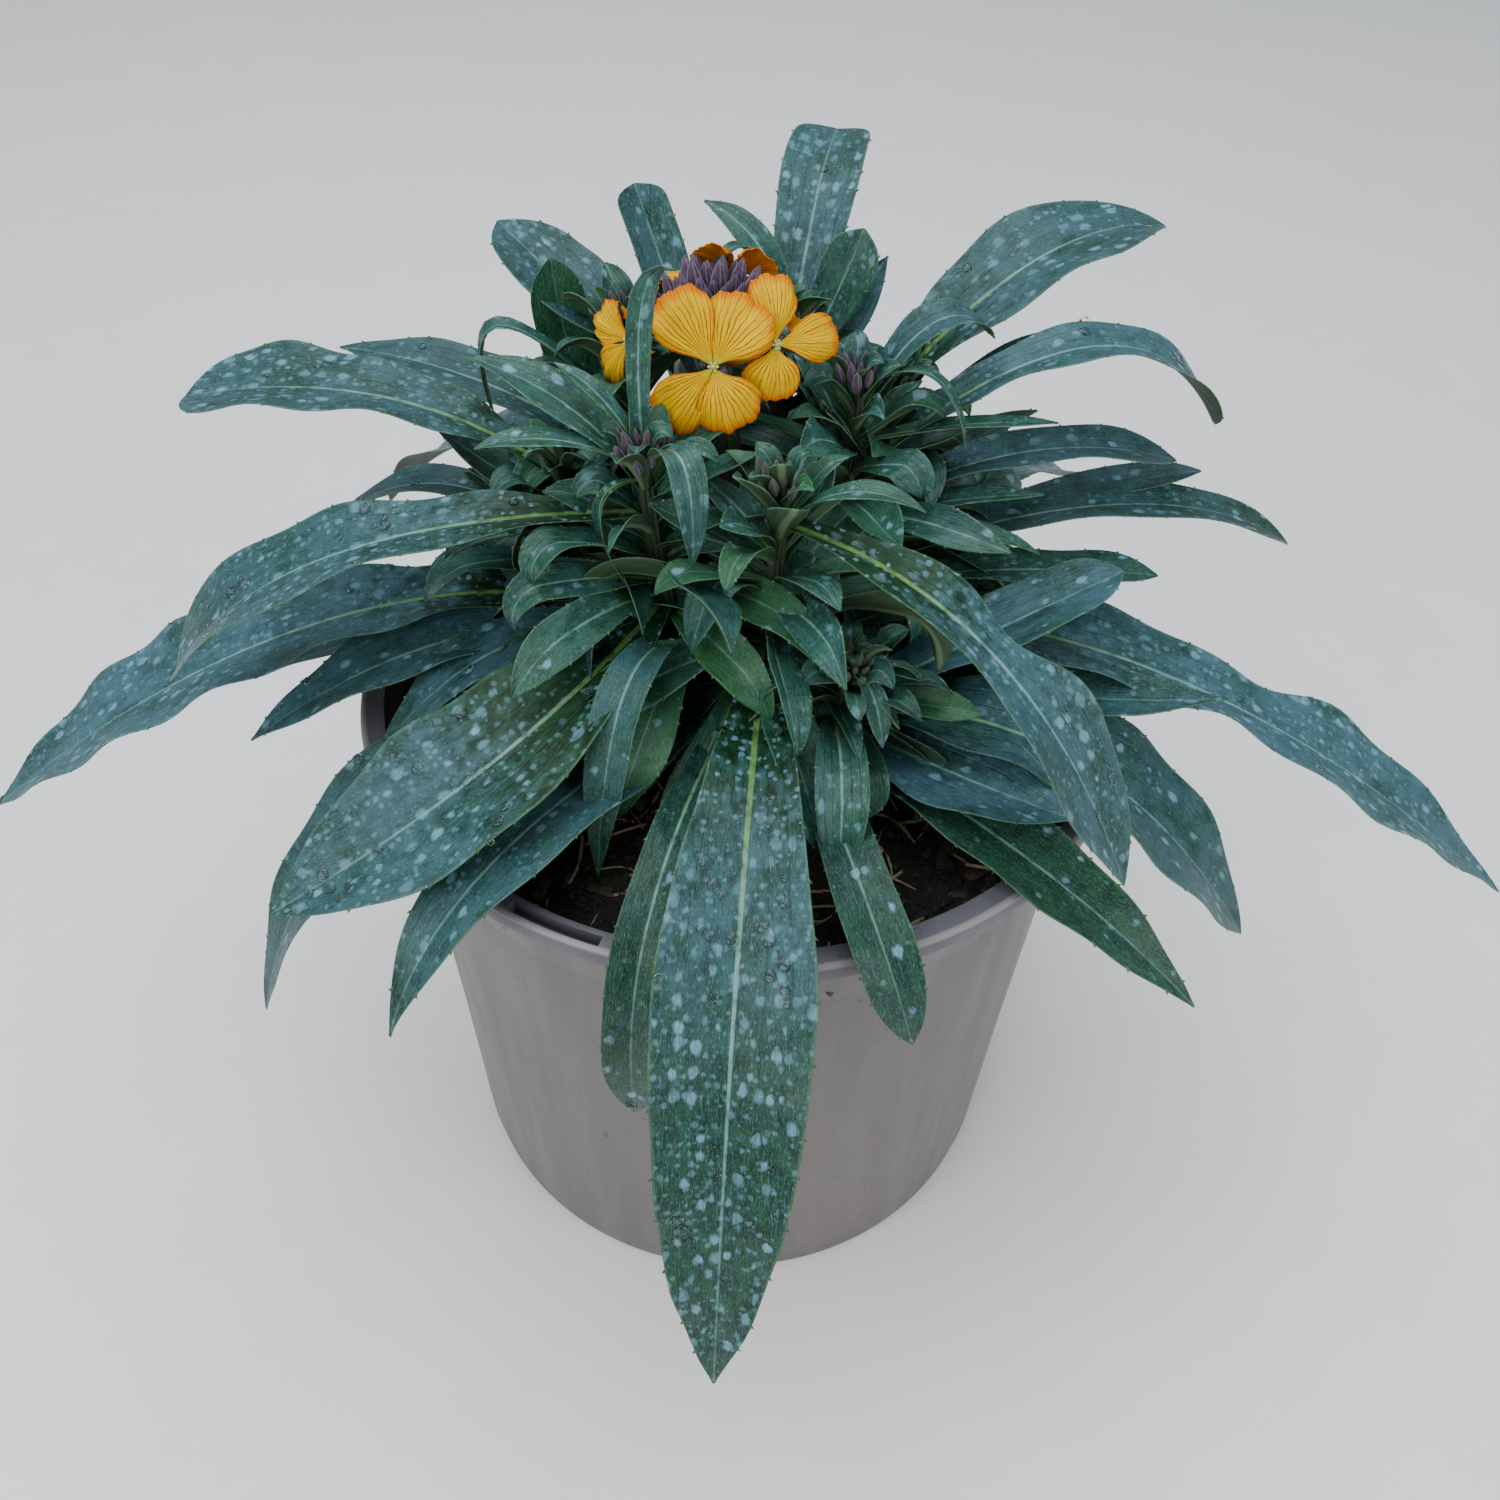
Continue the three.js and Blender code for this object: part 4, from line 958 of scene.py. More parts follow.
@dataclass(frozen=True)
class UnderFinish(Finish):
    """Matt olive underside with a paler rib."""

    green: tuple = (0.046, 0.086, 0.042)
    dark: tuple = (0.026, 0.055, 0.030)
    rib: tuple = (0.12, 0.20, 0.10)

    def paint(self, nodes: Nodes) -> tuple:
        """Mixes what the finish shows.

        Args:
            nodes: The node writer.

        Returns:
            Colour, roughness and relief, as in Finish.
        """
        side = nodes.attribute("side_mm")
        at = nodes.joined(nodes.times(nodes.attribute("reach_mm"), 0.08), nodes.times(side, 0.3),
                          nodes.attribute("marking"))
        grain = nodes.noise(at, 2.5, 3.0, 0.6)
        colour = nodes.mix(nodes.ramp(grain, 0.3, 0.7), self.dark, self.green)
        colour = nodes.mix(nodes.ramp(nodes.unsigned(side), 1.3, 0.5, 0.0, 0.8), colour, self.rib)
        return colour, None, grain, 0.0003, 0.6


@dataclass(frozen=True)
class StemFinish(Finish):
    """Ridged stem, green at the tips and purple-grey where it is old."""

    young: tuple = (0.040, 0.070, 0.034)
    old: tuple = (0.034, 0.032, 0.028)
    flush: tuple = (0.045, 0.034, 0.044)
    furrow: tuple = (0.03, 0.035, 0.02)

    def paint(self, nodes: Nodes) -> tuple:
        """Mixes what the finish shows.

        Args:
            nodes: The node writer.

        Returns:
            Colour, roughness and relief, as in Finish.
        """
        ridge = nodes.ripples(nodes.attribute("turn"), 2 * math.pi * STEM_RIDGES)
        patches = nodes.noise(nodes.place(), 260.0, 4.0, 0.6)
        colour = nodes.mix(nodes.ramp(nodes.attribute("along"), 0.25, 0.75), self.old, self.young)
        colour = nodes.layered(colour, (nodes.ramp(patches, 0.4, 0.7, 0.0, 0.7), self.flush),
                               (nodes.ramp(ridge, 0.0, 0.5, 0.35, 0.0), self.furrow))
        height = nodes.plus(nodes.times(ridge, 0.6), nodes.times(patches, 0.6))
        return colour, None, height, 0.0005, 0.8


@dataclass(frozen=True)
class PetalFinish(Finish):
    """Golden petal with orange ruffled margin and darker veins that fan out."""

    gold: tuple = (0.67, 0.37, 0.0)
    light: tuple = (0.73, 0.45, 0.0)
    margin: tuple = (0.62, 0.12, 0.0)
    vein: tuple = (0.17, 0.035, 0.0)
    claw: tuple = (0.62, 0.55, 0.03)
    faded: tuple = (0.30, 0.05, 0.01)
    faded_rim: tuple = (0.62, 0.17, 0.0)

    def paint(self, nodes: Nodes) -> tuple:
        """Mixes what the finish shows.

        Args:
            nodes: The node writer.

        Returns:
            Colour, roughness and relief, as in Finish.
        """
        get, times, ramp = nodes.attribute, nodes.times, nodes.ramp
        share, fan = get("along"), get("across")
        at = nodes.joined(times(share, 3.0), times(fan, 3.0), get("marking"))
        clouds = nodes.noise(at, 1.2, 3.0, 0.6)
        gold = nodes.mix(ramp(clouds, 0.35, 0.65), self.gold, self.light)
        # The margin is deepest at the outer corners of the petal
        out = nodes.larger(share, nodes.math("MULTIPLY_ADD", nodes.unsigned(fan), 0.42, 0.52))
        rim = ramp(nodes.math("MULTIPLY_ADD", clouds, 0.26, out), 0.95, 1.12)
        # Veins run outwards from the claw, with finer ones between them near the margin
        ray = nodes.plus(fan, times(nodes.noise(at, 1.5, 3.0), 0.16))
        coarse = times(ramp(nodes.ripples(ray, 21.0), 0.50, 0.12), ramp(share, 1.0, 0.4, 0.40, 1.0))
        fine = times(ramp(nodes.ripples(ray, 43.0), 0.35, 0.0), ramp(share, 0.45, 0.75, 0.0, 0.45))
        veins = nodes.larger(coarse, fine)
        faded = nodes.mix(ramp(share, 0.2, 1.0), self.faded, self.faded_rim)
        colour = nodes.layered(gold, (times(rim, 0.85), self.margin), (times(veins, 0.85), self.vein),
                               (ramp(share, 0.16, 0.04), self.claw), (times(get("age"), 0.95), faded))
        height = nodes.minus(times(clouds, 0.8), times(veins, 0.5))
        return colour, None, height, 0.0005, 0.7


@dataclass(frozen=True)
class BudFinish(Finish):
    """Deep purple sepals, paler on their ribs and green at the foot."""

    purple: tuple = (0.046, 0.022, 0.058)
    pale: tuple = (0.170, 0.108, 0.180)
    green: tuple = (0.075, 0.125, 0.050)

    def paint(self, nodes: Nodes) -> tuple:
        """Mixes what the finish shows.

        Args:
            nodes: The node writer.

        Returns:
            Colour, roughness and relief, as in Finish.
        """
        speckle = nodes.noise(nodes.place(), 900.0, 3.0, 0.6)
        rib = nodes.ripples(nodes.attribute("turn"), 2 * math.pi * BUD_RIBS)
        foot = nodes.larger(nodes.ramp(nodes.attribute("along"), 0.35, 0.0), nodes.attribute("green"))
        colour = nodes.mix(nodes.ramp(rib, 0.55, 1.0), self.purple, self.pale)
        colour = nodes.layered(colour, (nodes.ramp(speckle, 0.45, 0.7, 0.0, 0.6), self.pale),
                               (nodes.times(foot, nodes.ramp(speckle, 0.3, 0.6, 0.6, 0.95)), self.green))
        return colour, None, nodes.plus(rib, speckle), 0.0004, 0.6


@dataclass(frozen=True)
class SpeckledFinish(Finish):
    """Two-tone crumbly finish for compost, bark, straw, moss and stamens."""

    first: tuple = (0.01, 0.008, 0.006)
    second: tuple = (0.03, 0.02, 0.014)
    scale: float = 400.0
    relief: float = 0.001

    def paint(self, nodes: Nodes) -> tuple:
        """Mixes what the finish shows.

        Args:
            nodes: The node writer.

        Returns:
            Colour, roughness and relief, as in Finish.
        """
        at = nodes.place()
        crumbs = nodes.noise(at, self.scale, 6.0, 0.7)
        broad = nodes.noise(at, self.scale * 0.17, 3.0, 0.5)
        colour = nodes.mix(nodes.ramp(crumbs, 0.35, 0.68), self.first, self.second)
        colour = nodes.mix(nodes.ramp(broad, 0.4, 0.65, 0.0, 0.5), colour, self.first)
        rough = nodes.ramp(broad, 0.3, 0.7, self.roughness - 0.12, self.roughness + 0.08)
        return colour, rough, crumbs, self.relief, 0.9


@dataclass(frozen=True)
class PotFinish(Finish):
    """Taupe moulded plastic with a fine texture, streaks down the wall, scuffs, soil specks and a painted
    highlight on the lip's edge.
    """

    body: tuple = (0.108, 0.098, 0.100)
    warm: tuple = (0.122, 0.106, 0.104)
    lip: tuple = (0.080, 0.078, 0.094)
    soil: tuple = (0.045, 0.034, 0.027)
    # Pale scuff colour, also laid as a painted highlight along the lip's edge
    scuff_and_highlight: tuple = (0.30, 0.285, 0.29)

    def paint(self, nodes: Nodes) -> tuple:
        """Mixes what the finish shows.

        Args:
            nodes: The node writer.

        Returns:
            Colour, roughness and relief, as in Finish.
        """
        times, ramp, at = nodes.times, nodes.ramp, nodes.place()

        def scaled(upwards: float) -> object:
            """Returns the place with its height scaled."""
            return nodes.add("ShaderNodeMapping", None, Vector=at, Scale=(1.0, 1.0, upwards)).outputs[0]

        height = nodes.add("ShaderNodeSeparateXYZ", None, Vector=at).outputs["Z"]
        out = nodes.add("ShaderNodeVectorMath", {"operation": "LENGTH"}, in0=scaled(0.0)).outputs["Value"]
        broad = nodes.noise(at, 14.0, 3.0, 0.5)
        streaks = nodes.noise(scaled(0.10), 95.0, 4.0, 0.6)
        fine = nodes.noise(at, 1500.0, 2.0, 0.5)
        specks = nodes.noise(at, 330.0, 2.0, 0.5)
        # A thin pale line round the lip's outer edge is a painted highlight
        edge = times(ramp(out, 0.0932, 0.0940), ramp(height, 0.1588, 0.1595))
        low = times(ramp(height, 0.010, 0.0, 0.0, 0.5), ramp(specks, 0.52, 0.66))
        colour = nodes.layered(
            nodes.mix(ramp(broad, 0.35, 0.65), self.body, self.warm),
            (ramp(height, 0.1535, 0.1550), self.lip),
            (ramp(streaks, 0.58, 0.80, 0.0, 0.12), self.scuff_and_highlight),
            # painted highlight along the lip's outer edge
            (times(edge, 0.55), self.scuff_and_highlight),
            (ramp(specks, 0.70, 0.76, 0.0, 0.75), self.soil),
            (low, self.soil),
        )
        rough = ramp(streaks, 0.3, 0.7, self.roughness - 0.06, self.roughness + 0.10)
        relief = nodes.plus(times(fine, 0.30), times(streaks, 0.6))
        return colour, rough, relief, 0.0002, 0.35


@dataclass(frozen=True)
class WaterFinish(Finish):
    """Clear water with a faint green tone."""

    tone: tuple = (0.86, 0.93, 0.90)
    light: tuple = (0.97, 1.0, 0.99)

    def paint(self, nodes: Nodes) -> tuple:
        """Mixes what the finish shows.

        Args:
            nodes: The node writer.

        Returns:
            Colour, roughness and relief, as in Finish.
        """
        tone = nodes.mix(nodes.noise(nodes.place(), 200.0), self.tone, self.light)
        return tone, None, None, 0.0, 0.0


# Shape trees


class Shaper:
    """A Geometry Nodes tree with named inputs, grown once into a plain mesh."""

    def __init__(self, name: str) -> None:
        """Starts a tree that takes a surface in and gives a surface out.

        Args:
            name: Its name.
        """
        self.tree = bpy.data.node_groups.new(name, "GeometryNodeTree")
        for way in ("INPUT", "OUTPUT"):
            self.tree.interface.new_socket("Geometry", in_out=way, socket_type="NodeSocketGeometry")
        self.nodes = Nodes(self.tree)
        self.entry = self.tree.nodes.new("NodeGroupInput")
        self.exit = self.tree.nodes.new("NodeGroupOutput")
        self.identifiers: dict[str, str] = {}

    def input(self, name: str, kind: str) -> Socket:
        """Adds a named input and returns its socket."""
        socket = self.tree.interface.new_socket(name, in_out="INPUT", socket_type=f"NodeSocket{kind}")
        self.identifiers[name] = socket.identifier
        return next(output for output in self.entry.outputs if output.identifier == socket.identifier)

    def inputs(self, kind: str, *names: str) -> list:
        """Adds several inputs of one kind and returns their sockets."""
        return [self.input(name, kind) for name in names]

    def add(self, kind: str, settings: dict | None = None, **inputs: object) -> bpy.types.Node:
        """Adds a node, as in Nodes."""
        return self.nodes.add(kind, settings, **inputs)

    def attribute(self, name: str) -> Socket:
        """Returns a number that the base carries."""
        return self.add("GeometryNodeInputNamedAttribute", {"data_type": "FLOAT"}, Name=name).outputs[0]

    def chance(self, low: object, high: object, seed: object) -> Socket:
        """Returns a random number from low to high for each point."""
        settings = {"data_type": "FLOAT"}
        return self.add("FunctionNodeRandomValue", settings, in2=low, in3=high, Seed=seed).outputs[1]

    def placed(self, points: object, shape: object, turn: object, size: object) -> Socket:
        """Sets a shape on each point.

        Args:
            points: The points.
            shape: The object that is set on them.
            turn: How each is turned.
            size: How large each is.

        Returns:
            The instances.
        """
        info = self.add("GeometryNodeObjectInfo", {"transform_space": "ORIGINAL"}, Object=shape)
        return self.add("GeometryNodeInstanceOnPoints", None, Points=points, Rotation=turn,
                        Instance=info.outputs["Geometry"], Scale=size).outputs[0]

    def close(self, geometry: Socket, material: Socket) -> None:
        """Realizes the instances, gives them a material and ends the tree."""
        real = self.add("GeometryNodeRealizeInstances", None, Geometry=geometry)
        dressed = self.add("GeometryNodeSetMaterial", None, Geometry=real.outputs[0], Material=material)
        self.tree.links.new(dressed.outputs[0], self.exit.inputs[0])

    def grow(self, name: str, base: Thing, values: dict) -> Thing:
        """Grows the tree over a base object.

        Args:
            name: The new piece's name.
            base: The surface that the tree starts from.
            values: A value for each named input.

        Returns:
            A new linked object with a plain mesh.
        """
        modifier = base.modifiers.new(name, "NODES")
        modifier.node_group = self.tree
        for key, value in values.items():
            modifier[self.identifiers[key]] = value
        base.update_tag()
        graph = bpy.context.evaluated_depsgraph_get()
        mesh = bpy.data.meshes.new_from_object(
            base.evaluated_get(graph), preserve_all_data_layers=True, depsgraph=graph)
        base.modifiers.remove(modifier)
        mesh.name = name
        thing = linked(name, mesh)
        mesh.polygons.foreach_set("use_smooth", np.ones(len(mesh.polygons), dtype=bool))
        return thing


def strewing_tree() -> Shaper:
    """Makes the tree that strews a small shape over a surface.

    Returns:
        The tree, with inputs for the shape, its number, spacing, sizes, tilt, seed and finish.
    """
    tree = Shaper("strewn over a surface")
    nodes = tree.nodes
    shape, material = tree.input("Shape", "Object"), tree.input("Finish", "Material")
    density, spacing, small, large, tilt = tree.inputs(
        "Float", "Density", "Spacing", "Smallest", "Largest", "Tilt")
    seed, lift = tree.input("Seed", "Int"), tree.input("Lift", "Float")
    points = tree.add("GeometryNodeDistributePointsOnFaces", {"distribute_method": "POISSON"},
                      Mesh=tree.entry.outputs[0], Distance_Min=spacing, Density_Max=density,
                      Density_Factor=tree.attribute("strew"), Seed=seed)
    spin, leaning = tree.chance(0.0, 2 * math.pi, seed), nodes.times(tree.chance(0.0, 1.0, 3), tilt)
    own = tree.add("FunctionNodeEulerToRotation", None,
                   Euler=nodes.joined(leaning, nodes.times(leaning, 0.4), spin))
    local = tree.add("FunctionNodeRotateRotation", {"rotation_space": "LOCAL"},
                     Rotation=points.outputs["Rotation"], in1=own.outputs[0])
    placed = tree.placed(points.outputs[0], shape, local.outputs[0], tree.chance(small, large, 11))
    raised = tree.add("GeometryNodeTranslateInstances", None, Instances=placed,
                      Translation=nodes.joined(0.0, 0.0, lift))
    tree.close(raised.outputs[0], material)
    return tree


def cluster_tree() -> Shaper:
    """Makes the tree that sets buds over a dome by the golden angle, as they grow.

    Returns:
        The tree, with inputs for the bud, count, dome radius and height, bud sizes and finish.
    """
    tree = Shaper("buds over a dome")
    nodes = tree.nodes
    shape, material = tree.input("Bud", "Object"), tree.input("Finish", "Material")
    count = tree.input("Count", "Int")
    radius, height, inner, outer, splay = tree.inputs(
        "Float", "Radius", "Height", "Inner", "Outer", "Splay")
    number = tree.add("GeometryNodeInputIndex").outputs[0]
    share = nodes.math("SQRT", nodes.math("DIVIDE", nodes.plus(number, 0.5), count))
    turn = nodes.times(number, math.radians(GOLDEN_ANGLE))
    cos, sin = nodes.math("COSINE", turn), nodes.math("SINE", turn)
    out, lean = nodes.times(radius, share), nodes.times(share, splay)
    up = nodes.times(height, nodes.minus(1.0, nodes.times(share, share)))
    place = nodes.joined(nodes.times(out, cos), nodes.times(out, sin), up)
    points = tree.add("GeometryNodePoints", None, Count=count, Position=place)
    facing = tree.add("FunctionNodeAlignRotationToVector", {"axis": "Z"},
                      Vector=nodes.joined(nodes.times(cos, lean), nodes.times(sin, lean), 1.0))
    grown = nodes.math("MULTIPLY_ADD", nodes.minus(outer, inner), share, inner)
    size = nodes.times(grown, tree.chance(0.72, 1.22, 7))
    tree.close(tree.placed(points.outputs[0], shape, facing.outputs[0], size), material)
    return tree


def carry(thing: Thing, centre: Array, axis: Array) -> Thing:
    """Turns a mesh from upright to an axis and carries it to a point, in millimetres."""
    turn = Vector((0, 0, 1)).rotation_difference(Vector(axis)).to_matrix().to_4x4()
    thing.data.transform(Matrix.Translation(Vector(centre) * MM) @ turn)
    return thing


def put_away(*things: Thing) -> None:
    """Removes helper shapes from the scene."""
    for thing in things:
        bpy.data.objects.remove(thing, do_unlink=True)


# Pot and compost


def lathe(profile: list, segments: int) -> tuple[Array, list]:
    """Turns a closed profile about the upright axis.

    Args:
        profile: Radius and height in millimetres, from the axis round to the axis again.
        segments: Steps round the axis.

    Returns:
        Points and faces, facing outwards.
    """
    ring = profile[1:-1]
    points = [[0, 0, profile[0][1]], [0, 0, profile[-1][1]]]
    for s in range(segments):
        angle = 2 * math.pi * s / segments
        points += [[r * math.cos(angle), r * math.sin(angle), z] for r, z in ring]
    n = len(ring)
    faces = []

    def at(s: int, k: int) -> int:
        """Returns the number of a ring's point."""
        return 2 + (s % segments) * n + k

    for s in range(segments):
        faces.append([0, at(s + 1, 0), at(s, 0)])
        faces += [[at(s, k), at(s + 1, k), at(s + 1, k + 1), at(s, k + 1)] for k in range(n - 1)]
        faces.append([1, at(s, n - 1), at(s + 1, n - 1)])
    return np.array(points, dtype=float), faces


@dataclass
class Pot:
    """Round nursery pot: tapered wall, wide neck, flat lip with three slots, drain holes."""

    base: float = 77.0
    body: float = 86.5
    neck: float = 90.5
    lip: float = 95.0
    lip_inside: float = 89.0
    lip_depth: float = 5.0
    neck_depth: float = 22.0
    wall: float = 1.7
    floor: float = 2.5
    ridge_height: float = 7.0
    ridge: float = 0.6
    holes: int = 6
    hole_corners: int = 28
    hole_circle: float = 60.0
    hole_radius: float = 4.5
    slot_angles: tuple = (245, 5, 125)
    slot_steps: int = 13
    slot_span: float = 14.0
    slot_radius: float = 92.2
    slot_width: float = 2.8
    slot_depth: float = 3.4
    crease: float = 32.0
    segments: int = 224

    def radius(self, height: float) -> float:
        """Finds how wide the wall is.

        Args:
            height: How far up, in millimetres.

        Returns:
            The wall's outer radius there.
        """
        neck = POT_HEIGHT - self.neck_depth
        if height < neck:
            return self.base + (self.body - self.base) * height / neck
        return self.body + (self.neck - self.body) * (height - neck) / (self.neck_depth - self.lip_depth)

    def profile(self) -> list:
        """Draws the wall's section with its edges rounded.

        Returns:
            Radius and height at each corner, from the axis round to the axis again.
        """
        top, neck, skirt = POT_HEIGHT, POT_HEIGHT - self.neck_depth, POT_HEIGHT - self.lip_depth
        lip, inside, wall = self.lip, self.lip_inside, self.wall
        low, out, foot = self.ridge_height, self.ridge, self.radius(self.ridge_height)
        return [
            (0, 0), (self.base - 3, 0), (self.base - 1.2, 0.25), (self.base - 0.4, 0.9), (self.base, 2),
            (foot, low), (foot + out * 0.8, low + 0.3), (foot + out, low + 0.9), (self.radius(60), 60),
            (self.body - 0.12, neck - 1.6), (self.body, neck), (self.body + 0.5, neck + 1.6),
            (self.neck, skirt), (lip - 1.3, skirt + 0.05), (lip - 0.45, skirt + 0.3),
            (lip - 0.1, skirt + 0.9), (lip, top - 1.1), (lip - 0.15, top - 0.5), (lip - 0.7, top - 0.06),
            (lip - 1.5, top), (inside + 0.8, top), (inside + 0.2, top - 0.15), (inside, top - 0.8),
            (self.radius(skirt) - wall, skirt), (self.body - wall, neck),
            (self.radius(self.floor) - wall, self.floor), (0, self.floor),
        ]

    def cutter(self, sheaf: Sheaf, outline: list, low: float, high: float) -> None:
        """Adds an upright prism over an outline, to be cut away.

        Args:
            sheaf: Where it goes.
            outline: Points on its outline, of which only the level place counts.
            low: Where it starts.
            high: Where it ends.
        """
        n = len(outline)
        points = [(p[0], p[1], height) for height in (low, high) for p in outline]
        faces = [list(range(n))[::-1], [n + k for k in range(n)]]
        faces += [[k, (k + 1) % n, n + (k + 1) % n, n + k] for k in range(n)]
        sheaf.add(np.array(points, dtype=float), faces)

    def cutters(self) -> Sheaf:
        """Makes the prisms of the drain holes and of the lip's slots.

        Returns:
            The prisms in one sheaf.
        """
        sheaf = Sheaf()
        for i in range(self.holes):
            middle = compass(360 / self.holes * (i + 0.5)) * self.hole_circle
            spokes = [compass(360 * k / self.hole_corners) for k in range(self.hole_corners)]
            outline = [spoke * self.hole_radius + middle for spoke in spokes]
            self.cutter(sheaf, outline, -5, 2 * self.floor)
        inner, outer = self.slot_radius - self.slot_width / 2, self.slot_radius + self.slot_width / 2
        for angle in self.slot_angles:
            sweep = np.linspace(angle - self.slot_span / 2, angle + self.slot_span / 2, self.slot_steps)
            outline = [compass(a) * outer for a in sweep] + [compass(a) * inner for a in sweep[::-1]]
            self.cutter(sheaf, outline, POT_HEIGHT - self.slot_depth, POT_HEIGHT + 3)
        return sheaf

    def build(self, finish: Material) -> Thing:
        """Makes the pot.

        Args:
            finish: Its plastic.

        Returns:
            The finished pot.
        """
        pot = Sheaf.of(*lathe(self.profile(), self.segments)).build("pot_moulded", [finish])
        cutter = self.cutters().build("pot_cuts", [finish])
        modifier = pot.modifiers.new("cuts", "BOOLEAN")
        modifier.operation = "DIFFERENCE"
        modifier.solver = "EXACT"
        modifier.object = cutter
        graph = bpy.context.evaluated_depsgraph_get()
        mesh = bpy.data.meshes.new_from_object(pot.evaluated_get(graph), depsgraph=graph)
        pot.modifiers.remove(modifier)
        pot.data = mesh
        mesh.materials.clear()
        mesh.materials.append(finish)
        put_away(cutter)
        mesh.set_sharp_from_angle(angle=math.radians(self.crease))
        return seat(pot, "pot", "pot")


@dataclass
class Compost:
    """Moist compost with bark bits, straw, crumbs and a little moss."""

    edge: float = 87.2
    floor: float = 3.0
    clearance: float = 0.5
    shoulder: float = 1.5
    bare: tuple = (12, 30)
    bumps: float = 2.6
    rings: int = 64
    segments: int = 200
    seed: int = 9

    def ground(self, finish: Material) -> Thing:
        """Returns the fill before its surface is roughened.

        Args:
            finish: Its finish.

        Returns:
            The fill, whose points know how much is strewn on them and whether they are loose.
        """
        pot = Pot()
        neck = POT_HEIGHT - pot.neck_depth
        low, high = (pot.radius(height) - pot.wall - self.clearance for height in (self.floor, neck))
        profile = [(0, self.floor), (low, self.floor), (high, neck), (self.edge, COMPOST_TOP - self.shoulder)]
        profile += [(self.edge * (1 - k / self.rings) ** 0.8, COMPOST_TOP) for k in range(1, self.rings)]
        points, faces = lathe(profile + [(0, COMPOST_TOP)], self.segments)
        out, up = np.hypot(points[:, 0], points[:, 1]), points[:, 2]
        front = np.clip(-points[:, 1] / self.edge, 0, 1)
        strew = np.where(up > COMPOST_TOP - 2, smooth(*self.bare, out), 0) * (0.55 + 0.45 * front)
        loose = np.where(up > COMPOST_TOP - 1.2, 1.0, 0.0)
        return Sheaf.of(points, faces, strew=strew, loose=loose).build("compost_flat", [finish])

    def roughened(self, flat: Thing, finish: Material) -> Thing:
        """Grows the lumpy surface over the flat one.

        Args:
            flat: The fill with a flat surface.
            finish: Its finish.

        Returns:
            The lumpy fill.
        """
        tree = Shaper("lumpy ground")
        nodes, material = tree.nodes, tree.input("Finish", "Material")
        amount, coarse, fine = tree.inputs("Float", "Bumps", "Coarse", "Fine")
        place = tree.add("GeometryNodeInputPosition").outputs[0]
        lumps, crumbs = nodes.noise(place, coarse, 3.0, 0.55), nodes.noise(place, fine, 3.0, 0.6)
        rise = nodes.swayed(nodes.minus(lumps, 0.62), crumbs, 0.7)
        rise = nodes.times(rise, tree.attribute("loose"), amount)
        moved = tree.add("GeometryNodeSetPosition", None, Geometry=tree.entry.outputs[0],
                         Offset=nodes.joined(0.0, 0.0, rise))
        tree.close(moved.outputs[0], material)
        values = {"Finish": finish, "Bumps": 2 * self.bumps * MM, "Coarse": 62.0, "Fine": 320.0}
        return tree.grow("compost_fill", flat, values)

    def chip(self, rng: Draws) -> Sheaf:
        """Makes a ragged bark bit.

        Args:
            rng: Seeded draws.

        Returns:
            The bit, of unit length.
        """
        columns = np.linspace(-0.5, 0.5, 5)
        top = [(x, y * (0.8 + 0.5 * rng.random()), 0.07 + 0.05 * rng.random())
               for x in columns for y in (-0.2, 0.2)]
        points = np.array(top + [(x * 0.94, y * 0.94, -0.02) for x, y, z in top])
        points[:, :2] += rng.normal(0, 0.025, (len(points), 2))
        n = len(top)
        faces = []
        for a in range(0, n - 2, 2):
            b, c, d = a + 2, a + 3, a + 1
            faces += [[a, b, c, d], [d + n, c + n, b + n, a + n], [a + n, b + n, b, a],
                      [d, c, c + n, d + n]]
        faces += [[n, 0, 1, n + 1], [n - 2, 2 * n - 2, 2 * n - 1, n - 1]]
        return Sheaf.of(points * UNIT, faces)

    def straw(self, rng: Draws) -> Sheaf:
        """Makes a bent stalk.

        Args:
            rng: Seeded draws, which it doesn't need.

        Returns:
            The stalk, of unit length.
        """
        t = np.linspace(-0.5, 0.5, 7)
        line = np.stack([t, 0.10 * np.sin(4 * t + 1), 0.05 * np.cos(5 * t)], 1)
        points, faces, _ = tube(line, np.full(7, 0.022), 5)
        return Sheaf.of(points * UNIT, faces)

    def crumb(self, rng: Draws) -> Sheaf:
        """Makes a small rough lump.

        Args:
            rng: Seeded draws.

        Returns:
            The lump, of unit size.
        """
        z = np.linspace(-0.42, 0.42, 4)
        line = np.stack([0.05 * np.sin(9 * z), 0.05 * np.cos(7 * z), z], 1)
        points, faces, _ = tube(line, np.array([0.20, 0.42, 0.40, 0.18]), 6)
        points += rng.normal(0, 0.06, points.shape)
        return Sheaf.of(points * UNIT, faces)

    def moss(self, rng: Draws) -> Sheaf:
        """Makes a star of fine moss shoots.

        Args:
            rng: Seeded draws.

        Returns:
            The star, of unit size.
        """
        sheaf = Sheaf()
        for k in range(7):
            out = compass(k * GOLDEN_ANGLE)
            tip = out * 0.5 + vec(0, 0, 0.36 + 0.2 * rng.random())
            line = np.array([out * 0.02, out * 0.22 + vec(0, 0, 0.28), tip])
            points, faces, _ = tube(line, np.array([0.05, 0.045, 0.012]), 3)
            sheaf.add(points * UNIT, faces)
        return sheaf

